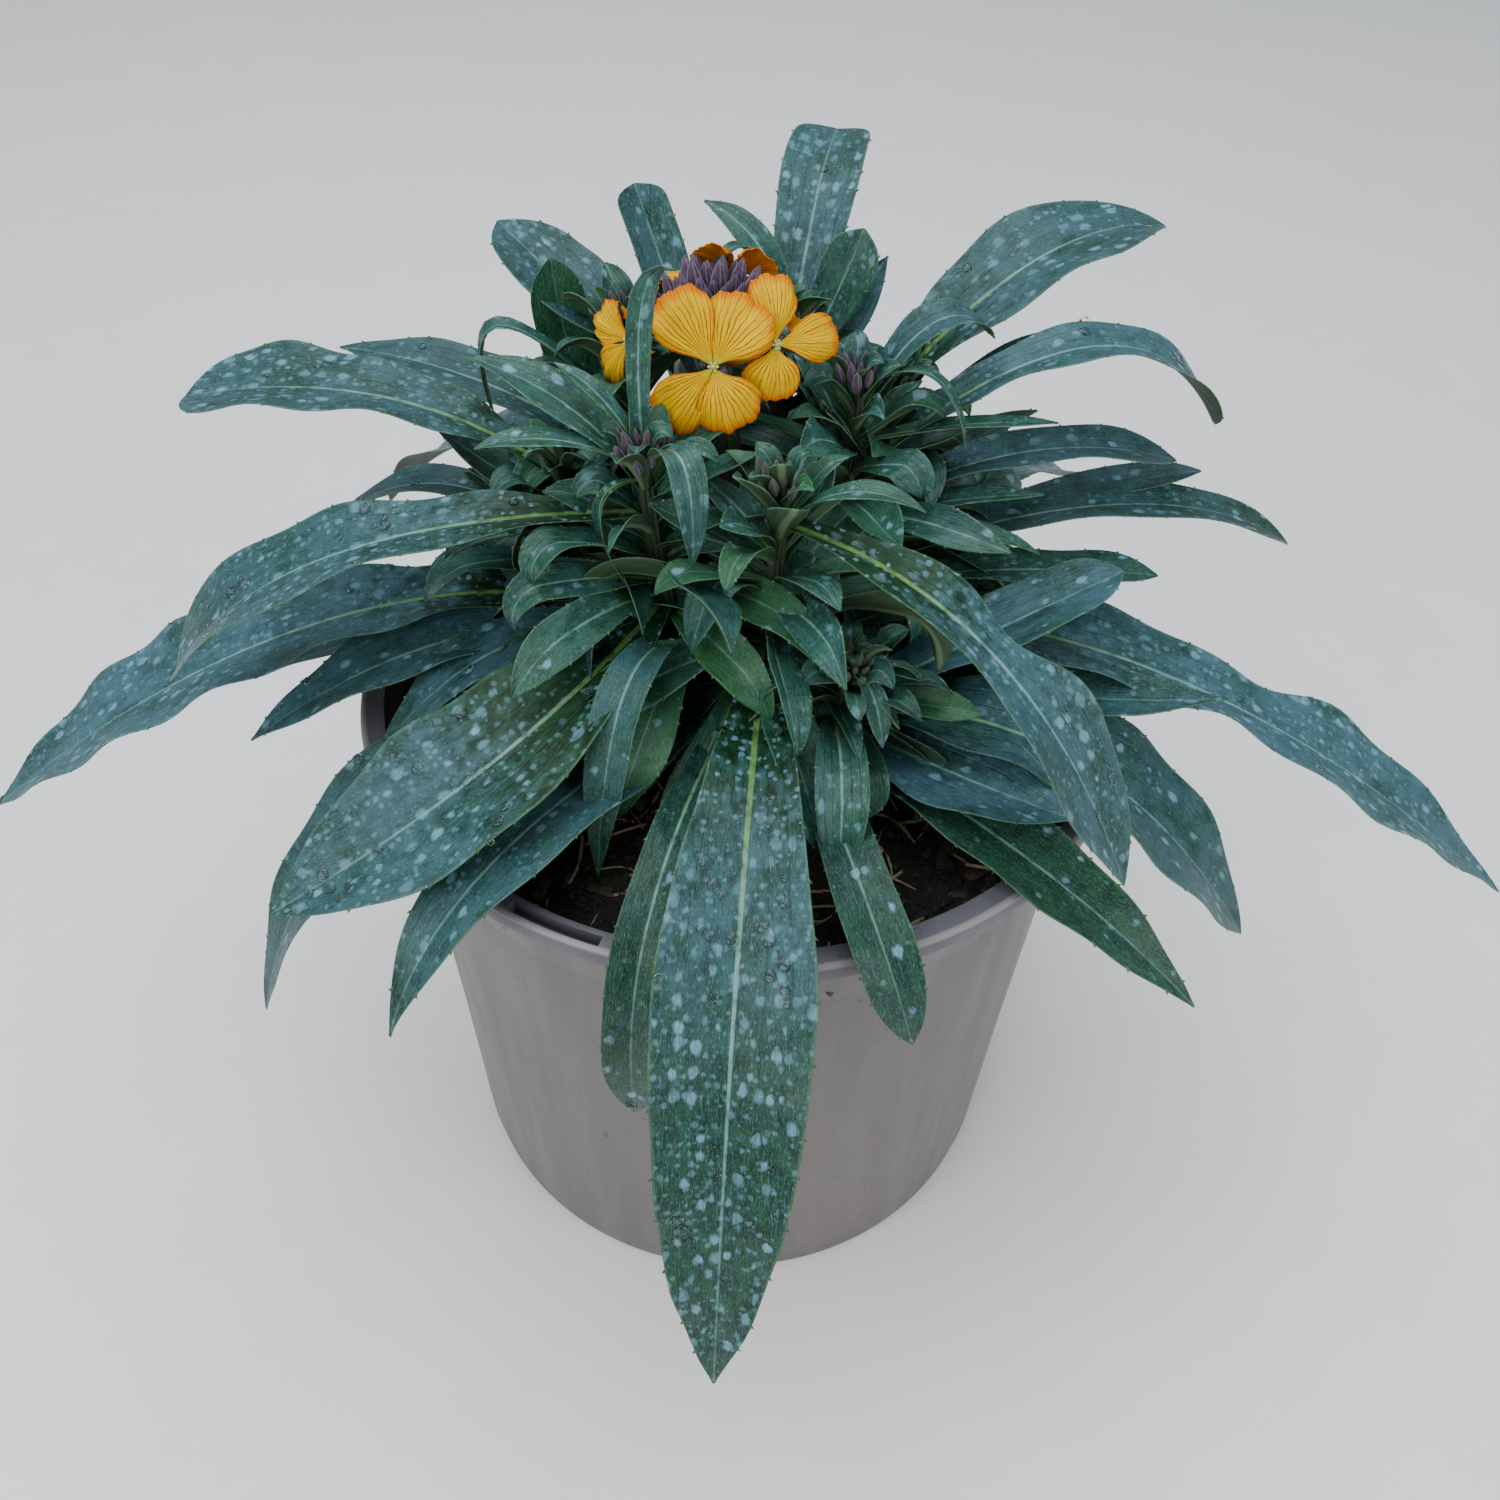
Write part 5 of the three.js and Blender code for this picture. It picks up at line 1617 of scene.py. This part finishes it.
    def build(self, soil: Material, finishes: dict) -> None:
        """Makes the fill and all that lies on it.

        Args:
            soil: The fill's finish.
            finishes: A finish for each kind of litter.
        """
        flat = self.ground(soil)
        fill = self.roughened(flat, soil)
        put_away(flat)
        tree = strewing_tree()
        rng = np.random.default_rng(self.seed)
        litter = (
            (Spread.BARK, self.chip, 22000, 3.4, 2.5, 7.5, 0.5, 0.2, 2),
            (Spread.STRAW, self.straw, 14000, 3.6, 6.0, 22.0, 0.35, 0.7, 5),
            (Spread.GRIT, self.crumb, 140000, 1.1, 0.9, 2.6, 1.5, 0.1, 8),
            (Spread.MOSS, self.moss, 26000, 2.0, 1.6, 3.6, 0.6, 0.0, 12),
        )
        for kind, shape, density, spacing, small, large, tilt, lift, seed in litter:
            source = shape(rng).build(f"{kind.value}_shape", [finishes[kind]], kind is not Spread.BARK)
            values = {"Shape": source, "Finish": finishes[kind], "Density": float(density),
                      "Spacing": spacing * MM, "Smallest": small * MM, "Largest": large * MM,
                      "Tilt": tilt, "Lift": lift * MM, "Seed": seed}
            piece = tree.grow(f"compost_{kind.value}", fill, values)
            put_away(source)
            self.trim(piece)
            seat(piece, "compost")
        seat(fill, "compost", "compost")

    def trim(self, piece: Thing) -> None:
        """Pulls in what would stick out through the pot's wall.

        Args:
            piece: A piece that lies on the fill.
        """
        mesh = piece.data
        places = places_of(mesh)
        out = np.hypot(places[:, 0], places[:, 1])
        limit = (self.edge + 0.6) * MM
        scale = np.where(out > limit, limit / np.maximum(out, 1e-9), 1.0)
        places[:, :2] *= scale[:, None]
        mesh.vertices.foreach_set("co", places.reshape(-1))
        mesh.update()


# Stems, tufts and flowers


@dataclass
class Stems:
    """The main stem and its shoots, with ridges and old leaf scars."""

    sides: int = 24
    steps: int = 80
    ridge: float = 0.16
    scar: float = 0.35
    scar_breadth: float = 0.13
    scar_height: float = 0.014
    scars: int = 12

    def build(self, finish: Material) -> None:
        """Makes one piece for each stem.

        Args:
            finish: The stems' finish.
        """
        for name, stem in ALL_STEMS.items():
            share = np.linspace(0, 1, self.steps)
            radii = (stem.thick + (stem.thin - stem.thick) * share) / 2 + stem.flare * np.exp(-share * 12)
            points, faces, turn = tube(stem.at(share), radii, self.sides)
            middle = np.repeat(stem.at(share), self.sides, axis=0)
            along = np.repeat(share, self.sides)
            wave = self.ridge * np.cos(2 * math.pi * STEM_RIDGES * turn + 1.5 * along)
            scars = np.zeros(len(points))
            for k in range(3, self.scars):
                gap = (turn - k * GOLDEN_ANGLE / 360) % 1.0
                beside = np.minimum(gap, 1 - gap) / self.scar_breadth
                above = (along - k / self.scars) / self.scar_height
                scars += self.scar * np.exp(-beside**2 - above**2)
            points = points + unit(points - middle) * (wave + scars)[:, None]
            sheaf = Sheaf.of(points, faces, along=along, turn=turn)
            node = "main_stem" if stem is MAIN_STEM else f"shoot_{name}"
            seat(sheaf.build(f"stem_{name}", [finish]), "stem", node)


@dataclass
class Tufts:
    """Young leaves at each shoot tip, set by the golden angle, with the short leaves among them."""

    count: int = 42
    length: tuple = (11, 62)
    rise: tuple = (80, 0)
    droop: tuple = (14, 55)
    width_share: tuple = (0.36, 0.20)
    foot: tuple = (0.98, 0.38)
    seed: int = 21
    smaller: dict = field(default_factory=lambda: {"front_right": 0.72})

    def leaf(self, on: str, number: int, rng: Draws) -> Leaf:
        """Returns one young leaf by the rule of the part's source.

        Args:
            on: The shoot.
            number: Its place from the heart outwards.
            rng: Seeded draws.

        Returns:
            The leaf.
        """
        share = (number + 0.5) / self.count

        def between(pair: tuple) -> float:
            """Returns a number on the way from the heart's to the rim's."""
            return pair[0] + (pair[1] - pair[0]) * share

        length = between(self.length) * rng.uniform(0.82, 1.12) * self.smaller.get(on, 1.0)
        rise, droop = math.radians(between(self.rise)), math.radians(between(self.droop))
        return Leaf(
            f"young_{number}", on, at=self.foot[0] + (self.foot[1] - self.foot[0]) * share**1.25,
            heading=number * GOLDEN_ANGLE + rng.uniform(-22, 22),
            reach=length * math.cos(rise - droop / 2), tip=length * math.sin(rise - droop / 2),
            bow=length / 2 * math.cos(rise), crest=length / 2 * math.sin(rise),
            wide=max(3.6, length * between(self.width_share) * rng.uniform(0.8, 1.2)), foot=0.22,
            peak=rng.uniform(0.52, 0.72), cup=rng.uniform(6, 30), roll=rng.uniform(-28, 28),
            twist=rng.uniform(-45, 45), swing=rng.uniform(-0.22, 0.22) * length,
            curl=rng.uniform(-10, 75), waves=1.5, square=rng.uniform(0, 0.8),
            spots=rng.uniform(0.0, 0.45), wet=0.15,
        )

    def build(self, finishes: list) -> None:
        """Makes one piece for each shoot's tuft.

        Args:
            finishes: Upper and under finish of the young leaves.
        """
        maker = BladeMaker(along=26, across=9, thickness=0.42, rib=0.35, tooth=0.8, tooth_pitch=9.0,
                           wave=0.06, seed=13)
        for k, on in enumerate(SHOOTS):
            rng = np.random.default_rng(self.seed + k)
            sheaf = Sheaf()
            for number in range(self.count):
                maker.add(sheaf, self.leaf(on, number, rng), tint=float(rng.uniform(0.1, 0.9)))
            for leaf in SHORT_LEAVES:
                if leaf.on == on:
                    maker.add(sheaf, leaf, tint=float(rng.uniform(0.1, 0.6)))
            seat(sheaf.build(f"young_leaves_{on}", finishes), "young_leaf", f"tuft_{on}")


@dataclass(frozen=True)
class Petal:
    """One petal: its direction, half its opening, its length, its lean back and its crumpling."""

    turn: float
    opening: float
    length: float
    lean: float = 0.0
    crumple: float = 1.0


@dataclass(frozen=True)
class Bloom:
    """One open flower: where it stands, how it faces, its four petals and how faded it is."""

    at: tuple
    heading: float
    rise: float
    petals: tuple
    age: float = 0.0

    def axes(self) -> tuple:
        """Finds how the flower faces.

        Returns:
            Its face direction and two directions across it.
        """
        rise = math.radians(self.rise)
        face = compass(self.heading) * math.cos(rise) + UP * math.sin(rise)
        level = unit(np.cross(UP, face))
        return face, level, np.cross(face, level)

    def outwards(self, angle: float) -> Array:
        """Returns the direction out from its middle at an angle in radians."""
        face, level, upward = self.axes()
        return level * math.cos(angle) + upward * math.sin(angle)


BLOOMS = (
    Bloom((-8, -6.5, 250.4), -92, 30, (
        Petal(61, 44, 16.3, -2), Petal(126, 34, 18, -2), Petal(229, 34, 16.3, 8), Petal(294, 46, 14, 4))),
    Bloom((4.8, -1, 252.9), -74, 32, (
        Petal(84, 32, 14.8, 2, 1.5), Petal(3, 31, 14.6, 2, 1.4), Petal(260, 50, 11.6, 8, 1.3),
        Petal(176, 30, 11, 28)), 0.03),
    Bloom((-26, 4, 250), -128, 24, (
        Petal(80, 30, 9, 10), Petal(172, 34, 13, 6, 1.3), Petal(236, 30, 12, 10, 1.4),
        Petal(320, 34, 6, 10)), 0.04),
    Bloom((-4, 25, 255), 80, 18, (
        Petal(45, 38, 11.5), Petal(135, 38, 11), Petal(225, 36, 9), Petal(315, 36, 9)), 0.9),
    Bloom((11.5, 10, 250.5), 30, 50, (
        Petal(45, 38, 11), Petal(135, 38, 10), Petal(225, 36, 6), Petal(315, 36, 6)), 0.6),
    Bloom((-23, 25, 250), 135, 40, (
        Petal(45, 36, 10), Petal(135, 36, 10), Petal(225, 36, 9), Petal(315, 36, 9)), 0.2),
)


@dataclass
class FlowerHead:
    """Dome of purple buds with open four-petalled flowers round it."""

    centre: tuple = (-9, 14.5, 257)
    foot: tuple = (-8, 12, 247)
    buds: int = 34
    radius: float = 8.6
    height: float = 3.6
    bud_sizes: tuple = (9.4, 8.6)
    tip_bud_sizes: tuple = (5.0, 6.0)
    petal_thickness: float = 0.35
    along: int = 24
    across: int = 29
    claw: float = 0.6
    fan: tuple = (0.76, 0.30, 0.12)
    rounding: float = 0.26
    notch: float = 0.035
    nicks: tuple = ((0.020, 11, 1), (0.013, 23, 2), (0.010, 41, 5))
    ruffle: float = 0.8
    stamens: int = 6
    anther: tuple = (0.2, 0.7, 0.95, 1.0, 0.9, 0.65, 0.2)
    tips: tuple = (
        ("left_front", 17, 5.2, 3.0, 0.2), ("front", 13, 4.4, 2.6, 0.65), ("front_right", 12, 3.8, 2.2, 1.0),
        ("right", 17, 5.2, 3.0, 0.1), ("left_back", 15, 4.8, 3.0, 0.05), ("left", 11, 3.6, 2.2, 0.8),
        ("back", 12, 4.0, 2.4, 0.4), ("right_back", 11, 3.6, 2.2, 0.6),
    )
    seed: int = 4

    def lift(self, crumple: float, phase: Array, u: Array, v: Array) -> Array:
        """Finds how far a petal's points stand out of its plane, by ruffles and a bowed middle.

        Args:
            crumple: How crumpled it is.
            phase: Four angles that set its ruffles apart from another's.
            u: Shares of its length, as a column.
            v: Shares of its half opening, as a row.

        Returns:
            A grid of heights.
        """
        folds = np.sin(v * 6.5 + phase[0]) + 0.6 * np.sin(v * 12 + phase[1] + 2 * u)
        folds = folds + 0.35 * np.sin(v * 21 + phase[3])
        lift = self.ruffle * crumple * folds * u**1.8 * (0.35 + 0.65 * np.abs(v))
        lift = lift + 1.5 * np.sin(math.pi * (u * 0.8)) - 2.0 * u**3 - 0.8 * v**2 * u
        return lift + 0.25 * np.sin(6 * u + phase[2]) * u

    def petal(self, sheaf: Sheaf, bloom: Bloom, quarter: int, rng: Draws) -> None:
        """Adds one petal, a fan on a narrow claw with a ruffled margin.

        Args:
            sheaf: Where it goes.
            bloom: Its flower.
            quarter: Which of the four it is.
            rng: Seeded draws.
        """
        spec = bloom.petals[quarter]
        face, level, upward = bloom.axes()
        rows, cols = self.along, self.across
        u, v = np.linspace(0, 1, rows)[:, None], np.linspace(-1, 1, cols)[None, :]
        start, gain, loss = self.fan
        opening = start + gain * smooth(0.0, 0.5, u) - loss * smooth(0.6, 1.0, u)
        angle = math.radians(spec.turn) + v * math.radians(spec.opening) * opening
        rounding = 1 - self.rounding * np.abs(v) ** 2.7 - self.notch * np.exp(-(v / 0.10) ** 2)
        nicks = 1
        for depth, beat, shift in self.nicks:
            nicks = nicks + depth * np.sin(v * beat + shift * quarter)
        reach = self.claw + (spec.length - self.claw) * u * (1 - (1 - rounding * nicks) * u)
        lift = self.lift(spec.crumple, rng.uniform(0, 6.28, 4), u, v)
        lift = lift + 0.22 * quarter - reach * math.tan(math.radians(spec.lean))
        flat = np.cos(angle)[..., None] * level + np.sin(angle)[..., None] * upward
        top = vec(*bloom.at) + flat * reach[..., None] + face * lift[..., None]
        thick = self.petal_thickness * (1.2 - 0.6 * u) * np.ones_like(v)
        low = top - face * thick[..., None]
        sheaf.add(np.concatenate([top.reshape(-1, 3), low.reshape(-1, 3)]), two_sided(rows, cols),
                  along=on_both(u, rows, cols), across=on_both(v, rows, cols),
                  marking=rng.uniform(0, 30), age=bloom.age)

    def middle(self, sheaf: Sheaf, bloom: Bloom, rng: Draws) -> None:
        """Adds the stamens and, last, the stigma.

        Args:
            sheaf: Where they go.
            bloom: Their flower.
            rng: Seeded draws.
        """
        face, centre = bloom.axes()[0], vec(*bloom.at)
        for k in range(self.stamens + 1):
            stigma = k == self.stamens
            out = bloom.outwards(k * math.pi / 3 + rng.uniform(-0.2, 0.2)) * (0.0 if stigma else 0.8)
            height = 1.7 if stigma else 1.4 + rng.uniform(-0.2, 0.3)
            foot, head = centre + out * 0.6 - face * 0.8, centre + out + face * height
            line = foot + (head - foot) * np.linspace(0, 1, 5)[:, None]
            points, faces, _ = tube(line, np.array([0.22, 0.2, 0.2, 0.2, 0.2]), 6)
            sheaf.add(points, faces, 0)
            along = face if stigma else unit(out + face * 0.5)
            tip = head + along * np.linspace(-0.5, 0.5, len(self.anther))[:, None]
            points, faces, _ = tube(tip, (0.5 if stigma else 0.36) * np.array(self.anther), 8)
            sheaf.add(points, faces, 1)

    def stalks(self, sheaf: Sheaf, bloom: Bloom) -> None:
        """Adds a flower's stalk and its four sepals.

        Args:
            sheaf: Where they go.
            bloom: Their flower.
        """
        face, centre = bloom.axes()[0], vec(*bloom.at)
        foot, head = vec(*self.centre) - UP * 5, centre - face * 5.0
        elbow = foot * 0.4 + head * 0.6 - UP * 2
        line = curve(foot, elbow, head, np.linspace(0, 1, 14)[:, None])
        points, faces, turn = tube(line, np.linspace(1.0, 0.75, 14), 8)
        sheaf.add(points, faces, along=0.2, turn=turn, green=0.8)
        s = np.linspace(0, 1, 9)
        radii = 1.15 * np.sin(math.pi * (s * 0.92 + 0.06)) ** 0.7 + 0.05
        for petal in bloom.petals:
            out = bloom.outwards(math.radians(petal.turn + 40))
            line = centre - face * (5.2 - 5.4 * s[:, None])
            line = line + out * (0.5 + 1.6 * np.sin(math.pi * s[:, None] * 0.7))
            points, faces, turn = tube(line, radii, 8)
            sheaf.add(points, faces, along=np.repeat(s, 8), turn=turn, green=0.1)

    def bud(self, finish: Material) -> Thing:
        """Makes a pointed ribbed bud of unit length, standing on the origin.

        Args:
            finish: Its finish.

        Returns:
            The bud.
        """
        sides = 12
        t = np.linspace(0, 1, 8)
        line = np.stack([0 * t, 0 * t, t - 0.12], 1)
        radii = 0.195 * np.sin(math.pi * (t * 0.94 + 0.05)) ** 0.6 * (1 - 0.30 * t)
        points, faces, turn = tube(line, np.maximum(radii, 0.01), sides)
        middle = np.repeat(line, sides, axis=0)
        rib = 1 + 0.09 * np.cos(2 * math.pi * BUD_RIBS * turn)
        points = middle + (points - middle) * rib[:, None]
        sheaf = Sheaf.of(points * UNIT, faces, along=np.repeat(t, sides), turn=turn, green=0.0)
        return sheaf.build("bud_shape", [finish])

    def clusters(self, finish: Material) -> list:
        """Grows the main dome and the small clusters at the shoot tips.

        Args:
            finish: The buds' finish.

        Returns:
            The clusters, the main one first.
        """
        bud, tree = self.bud(finish), cluster_tree()
        triangle = np.array([[0, 0, 0], [1, 0, 0], [0, 1, 0]], dtype=float)
        base = Sheaf.of(triangle, [[0, 1, 2]]).build("cluster_foot", [finish])
        rows = [("flower_buds", self.buds, self.radius, self.height, self.bud_sizes, 0.0,
                 vec(*self.centre) - UP * 5.5, UP)]
        rows += [(f"buds_{on}", count, radius, height, self.tip_bud_sizes, green,
                  SHOOTS[on].at(1.0) - UP * 1.2, SHOOTS[on].along(0.98))
                 for on, count, radius, height, green in self.tips]
        pieces = []
        for name, count, radius, height, sizes, green, place, axis in rows:
            values = {"Bud": bud, "Finish": finish, "Count": count, "Radius": radius * MM,
                      "Height": height * MM, "Inner": sizes[0] * MM, "Outer": sizes[1] * MM, "Splay": 0.42}
            piece = tree.grow(name, base, values)
            layer = piece.data.attributes["green"].data
            layer.foreach_set("value", np.full(len(layer), green, dtype=np.float32))
            pieces.append(carry(piece, place, axis))
        put_away(bud, base)
        return pieces

    def build(self, petals: Material, buds: Material, anthers: list) -> None:
        """Makes the head's pieces and the clusters at the tips.

        Args:
            petals: The petals' finish.
            buds: The buds' and sepals' finish.
            anthers: Finishes of the filaments and of the anthers.
        """
        rng = np.random.default_rng(self.seed)
        petal_sheaf, stamen_sheaf, stalk_sheaf = Sheaf(), Sheaf(), Sheaf()
        for bloom in BLOOMS:
            for quarter in range(4):
                self.petal(petal_sheaf, bloom, quarter, rng)
            self.middle(stamen_sheaf, bloom, rng)
            self.stalks(stalk_sheaf, bloom)
        foot, head = vec(*self.foot), vec(*self.centre) - UP * 3
        radii = np.array([2.4, 2.5, 2.8, 3.2, 3.8, 4.2, 4.0, 2.6])
        line = foot + (head - foot) * np.linspace(0, 1, len(radii))[:, None]
        points, faces, turn = tube(line, radii, 16)
        stalk_sheaf.add(points, faces, along=0.2, turn=turn, green=0.9)
        seat(petal_sheaf.build("petals", [petals]), "flower", "flower_head")
        seat(stamen_sheaf.build("stamens", anthers), "flower", "flower_head")
        seat(stalk_sheaf.build("flower_stalks", [buds]), "stem", "flower_head")
        clusters = self.clusters(buds)
        seat(clusters[0], "flower", "flower_head")
        for cluster in clusters[1:]:
            seat(cluster, "flower")


@dataclass
class Foliage:
    """The long leaves, one piece for each."""

    maker: BladeMaker = field(default_factory=lambda: BladeMaker(along=64, across=19))

    def build(self, finishes: list) -> list:
        """Makes the long leaves.

        Args:
            finishes: Upper and under finish.

        Returns:
            The pieces.
        """
        pieces = []
        for leaf in LONG_LEAVES:
            sheaf = Sheaf()
            self.maker.add(sheaf, leaf)
            pieces.append(seat(sheaf.build(f"blade_{leaf.name}", finishes), "leaf", f"leaf_{leaf.name}"))
        return pieces


@dataclass
class Droplets:
    """Water drops that stand on the upper faces of the wet leaves."""

    density: float = 60000.0
    spacing: float = 2.1
    small: float = 1.3
    large: float = 3.0
    seed: int = 31
    least_face: float = 3e-7
    least_up: float = -0.2

    def drop(self, finish: Material) -> Thing:
        """Makes a flattened drop of unit width.

        Args:
            finish: The water.

        Returns:
            The drop.
        """
        t = np.linspace(0, 1, 7)
        line = np.stack([0 * t, 0 * t, 0.27 * (1 - np.cos(math.pi * t)) / 2 - 0.05], 1)
        radii = 0.5 * np.maximum(np.sin(math.pi * t) ** 0.55, 0.03)
        points, faces, _ = tube(line, radii, 14)
        return Sheaf.of(points * UNIT, faces).build("drop_shape", [finish])

    def surface(self, sheaf: Sheaf, mesh: bpy.types.Mesh) -> None:
        """Adds a leaf's upper faces, whose points know how wet they are, in patches.

        Args:
            sheaf: Where they go.
            mesh: The leaf's mesh.
        """
        along, side, wet, marking = (values_of(mesh, name) for name in ("along", "side_mm", "wet", "marking"))
        tops = [list(face.vertices) for face in mesh.polygons if face.material_index == Face.TOP.value
                and face.area > self.least_face and face.normal.z > self.least_up]
        wave = np.sin(along * 21 + marking) + 0.8 * np.sin(side * 0.45 + marking * 3)
        strew = wet**1.5 * (0.015 + smooth(0.1, 1.2, wave)) * smooth(0.06, 0.2, along)
        sheaf.add(places_of(mesh) / MM, tops, strew=strew)

    def build(self, leaves: list, finish: Material) -> Thing:
        """Strews the drops over the leaves.

        Args:
            leaves: The leaf pieces.
            finish: The water.

        Returns:
            The drops as one piece.
        """
        sheaf = Sheaf()
        for leaf in leaves:
            self.surface(sheaf, leaf.data)
        surface = sheaf.build("drop_surface", [finish])
        shape = self.drop(finish)
        values = {"Shape": shape, "Finish": finish, "Density": self.density, "Spacing": self.spacing * MM,
                  "Smallest": self.small * MM, "Largest": self.large * MM, "Tilt": 0.0, "Lift": 0.0,
                  "Seed": self.seed}
        drops = strewing_tree().grow("drops", surface, values)
        put_away(surface, shape)
        return seat(drops, "leaf")


# Studio


@dataclass
class Studio:
    """Pale floor, soft lights and a camera at the photo's angle."""

    lens: float = 37.0
    eye: tuple = (0.0, -0.295, 0.416)
    target: tuple = (0.0025, 0.0, 0.1335)
    roll: float = -2.0
    floor_size: float = 3.0
    lights: tuple = (
        ("sky_panel", (-0.15, 0.10, 1.30), (0, 0, 0.2), 1.3, 18.5, (0.90, 0.96, 1.0)),
        ("window", (-0.80, -1.05, 0.95), (0, 0, 0.2), 1.0, 14.0, (1.0, 0.98, 0.96)),
        ("bounce", (1.0, -0.8, 0.55), (0, 0, 0.14), 0.9, 8.5, (1.0, 0.97, 0.94)),
    )

    def camera(self) -> None:
        """Sets the camera."""
        data = bpy.data.cameras.new("camera")
        data.lens = self.lens
        data.sensor_width = 36.0
        data.clip_start = 0.01
        ahead = unit(vec(*self.target) - vec(*self.eye))
        level = unit(np.cross(ahead, UP))
        upward = np.cross(level, ahead)
        angle = math.radians(self.roll)
        right = math.cos(angle) * level - math.sin(angle) * upward
        up = math.sin(angle) * level + math.cos(angle) * upward
        camera = linked("camera", data)
        camera.matrix_world = Matrix([*zip(right, up, -ahead, self.eye), (0, 0, 0, 1)])
        bpy.context.scene.camera = camera

    def build(self, floor_finish: Material) -> None:
        """Sets up floor, lights, sky and camera.

        Args:
            floor_finish: The floor's finish.
        """
        half = self.floor_size / 2 / MM
        n = 9
        grid = np.linspace(-half, half, n)
        points = np.array([(x, y, -0.05) for y in grid for x in grid])
        corners = [n * i + j for i in range(n - 1) for j in range(n - 1)]
        faces = [[k, k + 1, k + n + 1, k + n] for k in corners]
        Sheaf.of(points, faces).build("floor", [floor_finish])
        for name, place, towards, size, power, colour in self.lights:
            data = bpy.data.lights.new(name, "AREA")
            data.shape, data.size, data.energy, data.color = "SQUARE", size, power, colour
            lamp = linked(name, data)
            lamp.location = place
            lamp.rotation_euler = (Vector(towards) - Vector(place)).to_track_quat("-Z", "Y").to_euler()
        world = bpy.data.worlds.new("sky")
        world.use_nodes = True
        sky = world.node_tree.nodes["Background"]
        sky.inputs[0].default_value = (0.80, 0.86, 0.92, 1.0)
        sky.inputs[1].default_value = 0.45
        bpy.context.scene.world = world
        self.camera()


CRUMBLY = {key: SpeckledFinish(name, rough, first=first, second=second, scale=scale, relief=relief)
           for key, name, rough, first, second, scale, relief in (
    ("filament", "filament", 0.5, (0.45, 0.48, 0.12), (0.62, 0.62, 0.22), 900, 0.001),
    ("anther", "anther", 0.6, (0.55, 0.56, 0.16), (0.75, 0.73, 0.34), 1400, 0.001),
    ("compost", "compost", 0.85, (0.004, 0.0035, 0.003), (0.016, 0.012, 0.009), 420, 0.0015),
    (Spread.BARK, "bark bits", 0.75, (0.022, 0.016, 0.012), (0.085, 0.060, 0.040), 600, 0.001),
    (Spread.STRAW, "straw", 0.6, (0.20, 0.15, 0.085), (0.42, 0.34, 0.21), 500, 0.001),
    (Spread.GRIT, "crumbs", 0.85, (0.006, 0.005, 0.004), (0.035, 0.024, 0.016), 500, 0.001),
    (Spread.MOSS, "moss", 0.7, (0.035, 0.055, 0.012), (0.12, 0.15, 0.035), 900, 0.001),
    ("floor", "floor", 0.7, (0.86, 0.86, 0.855), (0.89, 0.89, 0.885), 30, 0.0001))}


def main() -> None:
    """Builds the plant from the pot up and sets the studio."""
    logging.basicConfig(level=logging.INFO, format="%(message)s")
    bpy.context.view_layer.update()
    leaf_top = LeafFinish("leaf top", 0.30, specular=0.20).material()
    leaf_under = UnderFinish("leaf underside", 0.6, specular=0.2).material()
    young_top = LeafFinish("young leaf top", 0.26, specular=0.25, bloom_share=0.42,
                           deep=(0.008, 0.042, 0.018), green=(0.022, 0.092, 0.036),
                           margin_share=0.35).material()
    buds = BudFinish("bud", 0.55, sheen=0.12, specular=0.3).material()
    petals = PetalFinish("petal", 0.65, specular=0.0).material()
    crumbly = {key: finish.material() for key, finish in CRUMBLY.items()}
    Pot().build(PotFinish("pot plastic", 0.46).material())
    Compost().build(crumbly["compost"], crumbly)
    Stems().build(StemFinish("stem", 0.6).material())
    leaves = Foliage().build([leaf_top, leaf_under])
    Tufts().build([young_top, leaf_under])
    FlowerHead().build(petals, buds, [crumbly["filament"], crumbly["anther"]])
    Droplets().build(leaves, WaterFinish("water", 0.02, transmission=1.0, refraction=1.333).material())
    Studio().build(crumbly["floor"])


if __name__ == "__main__":
    main()
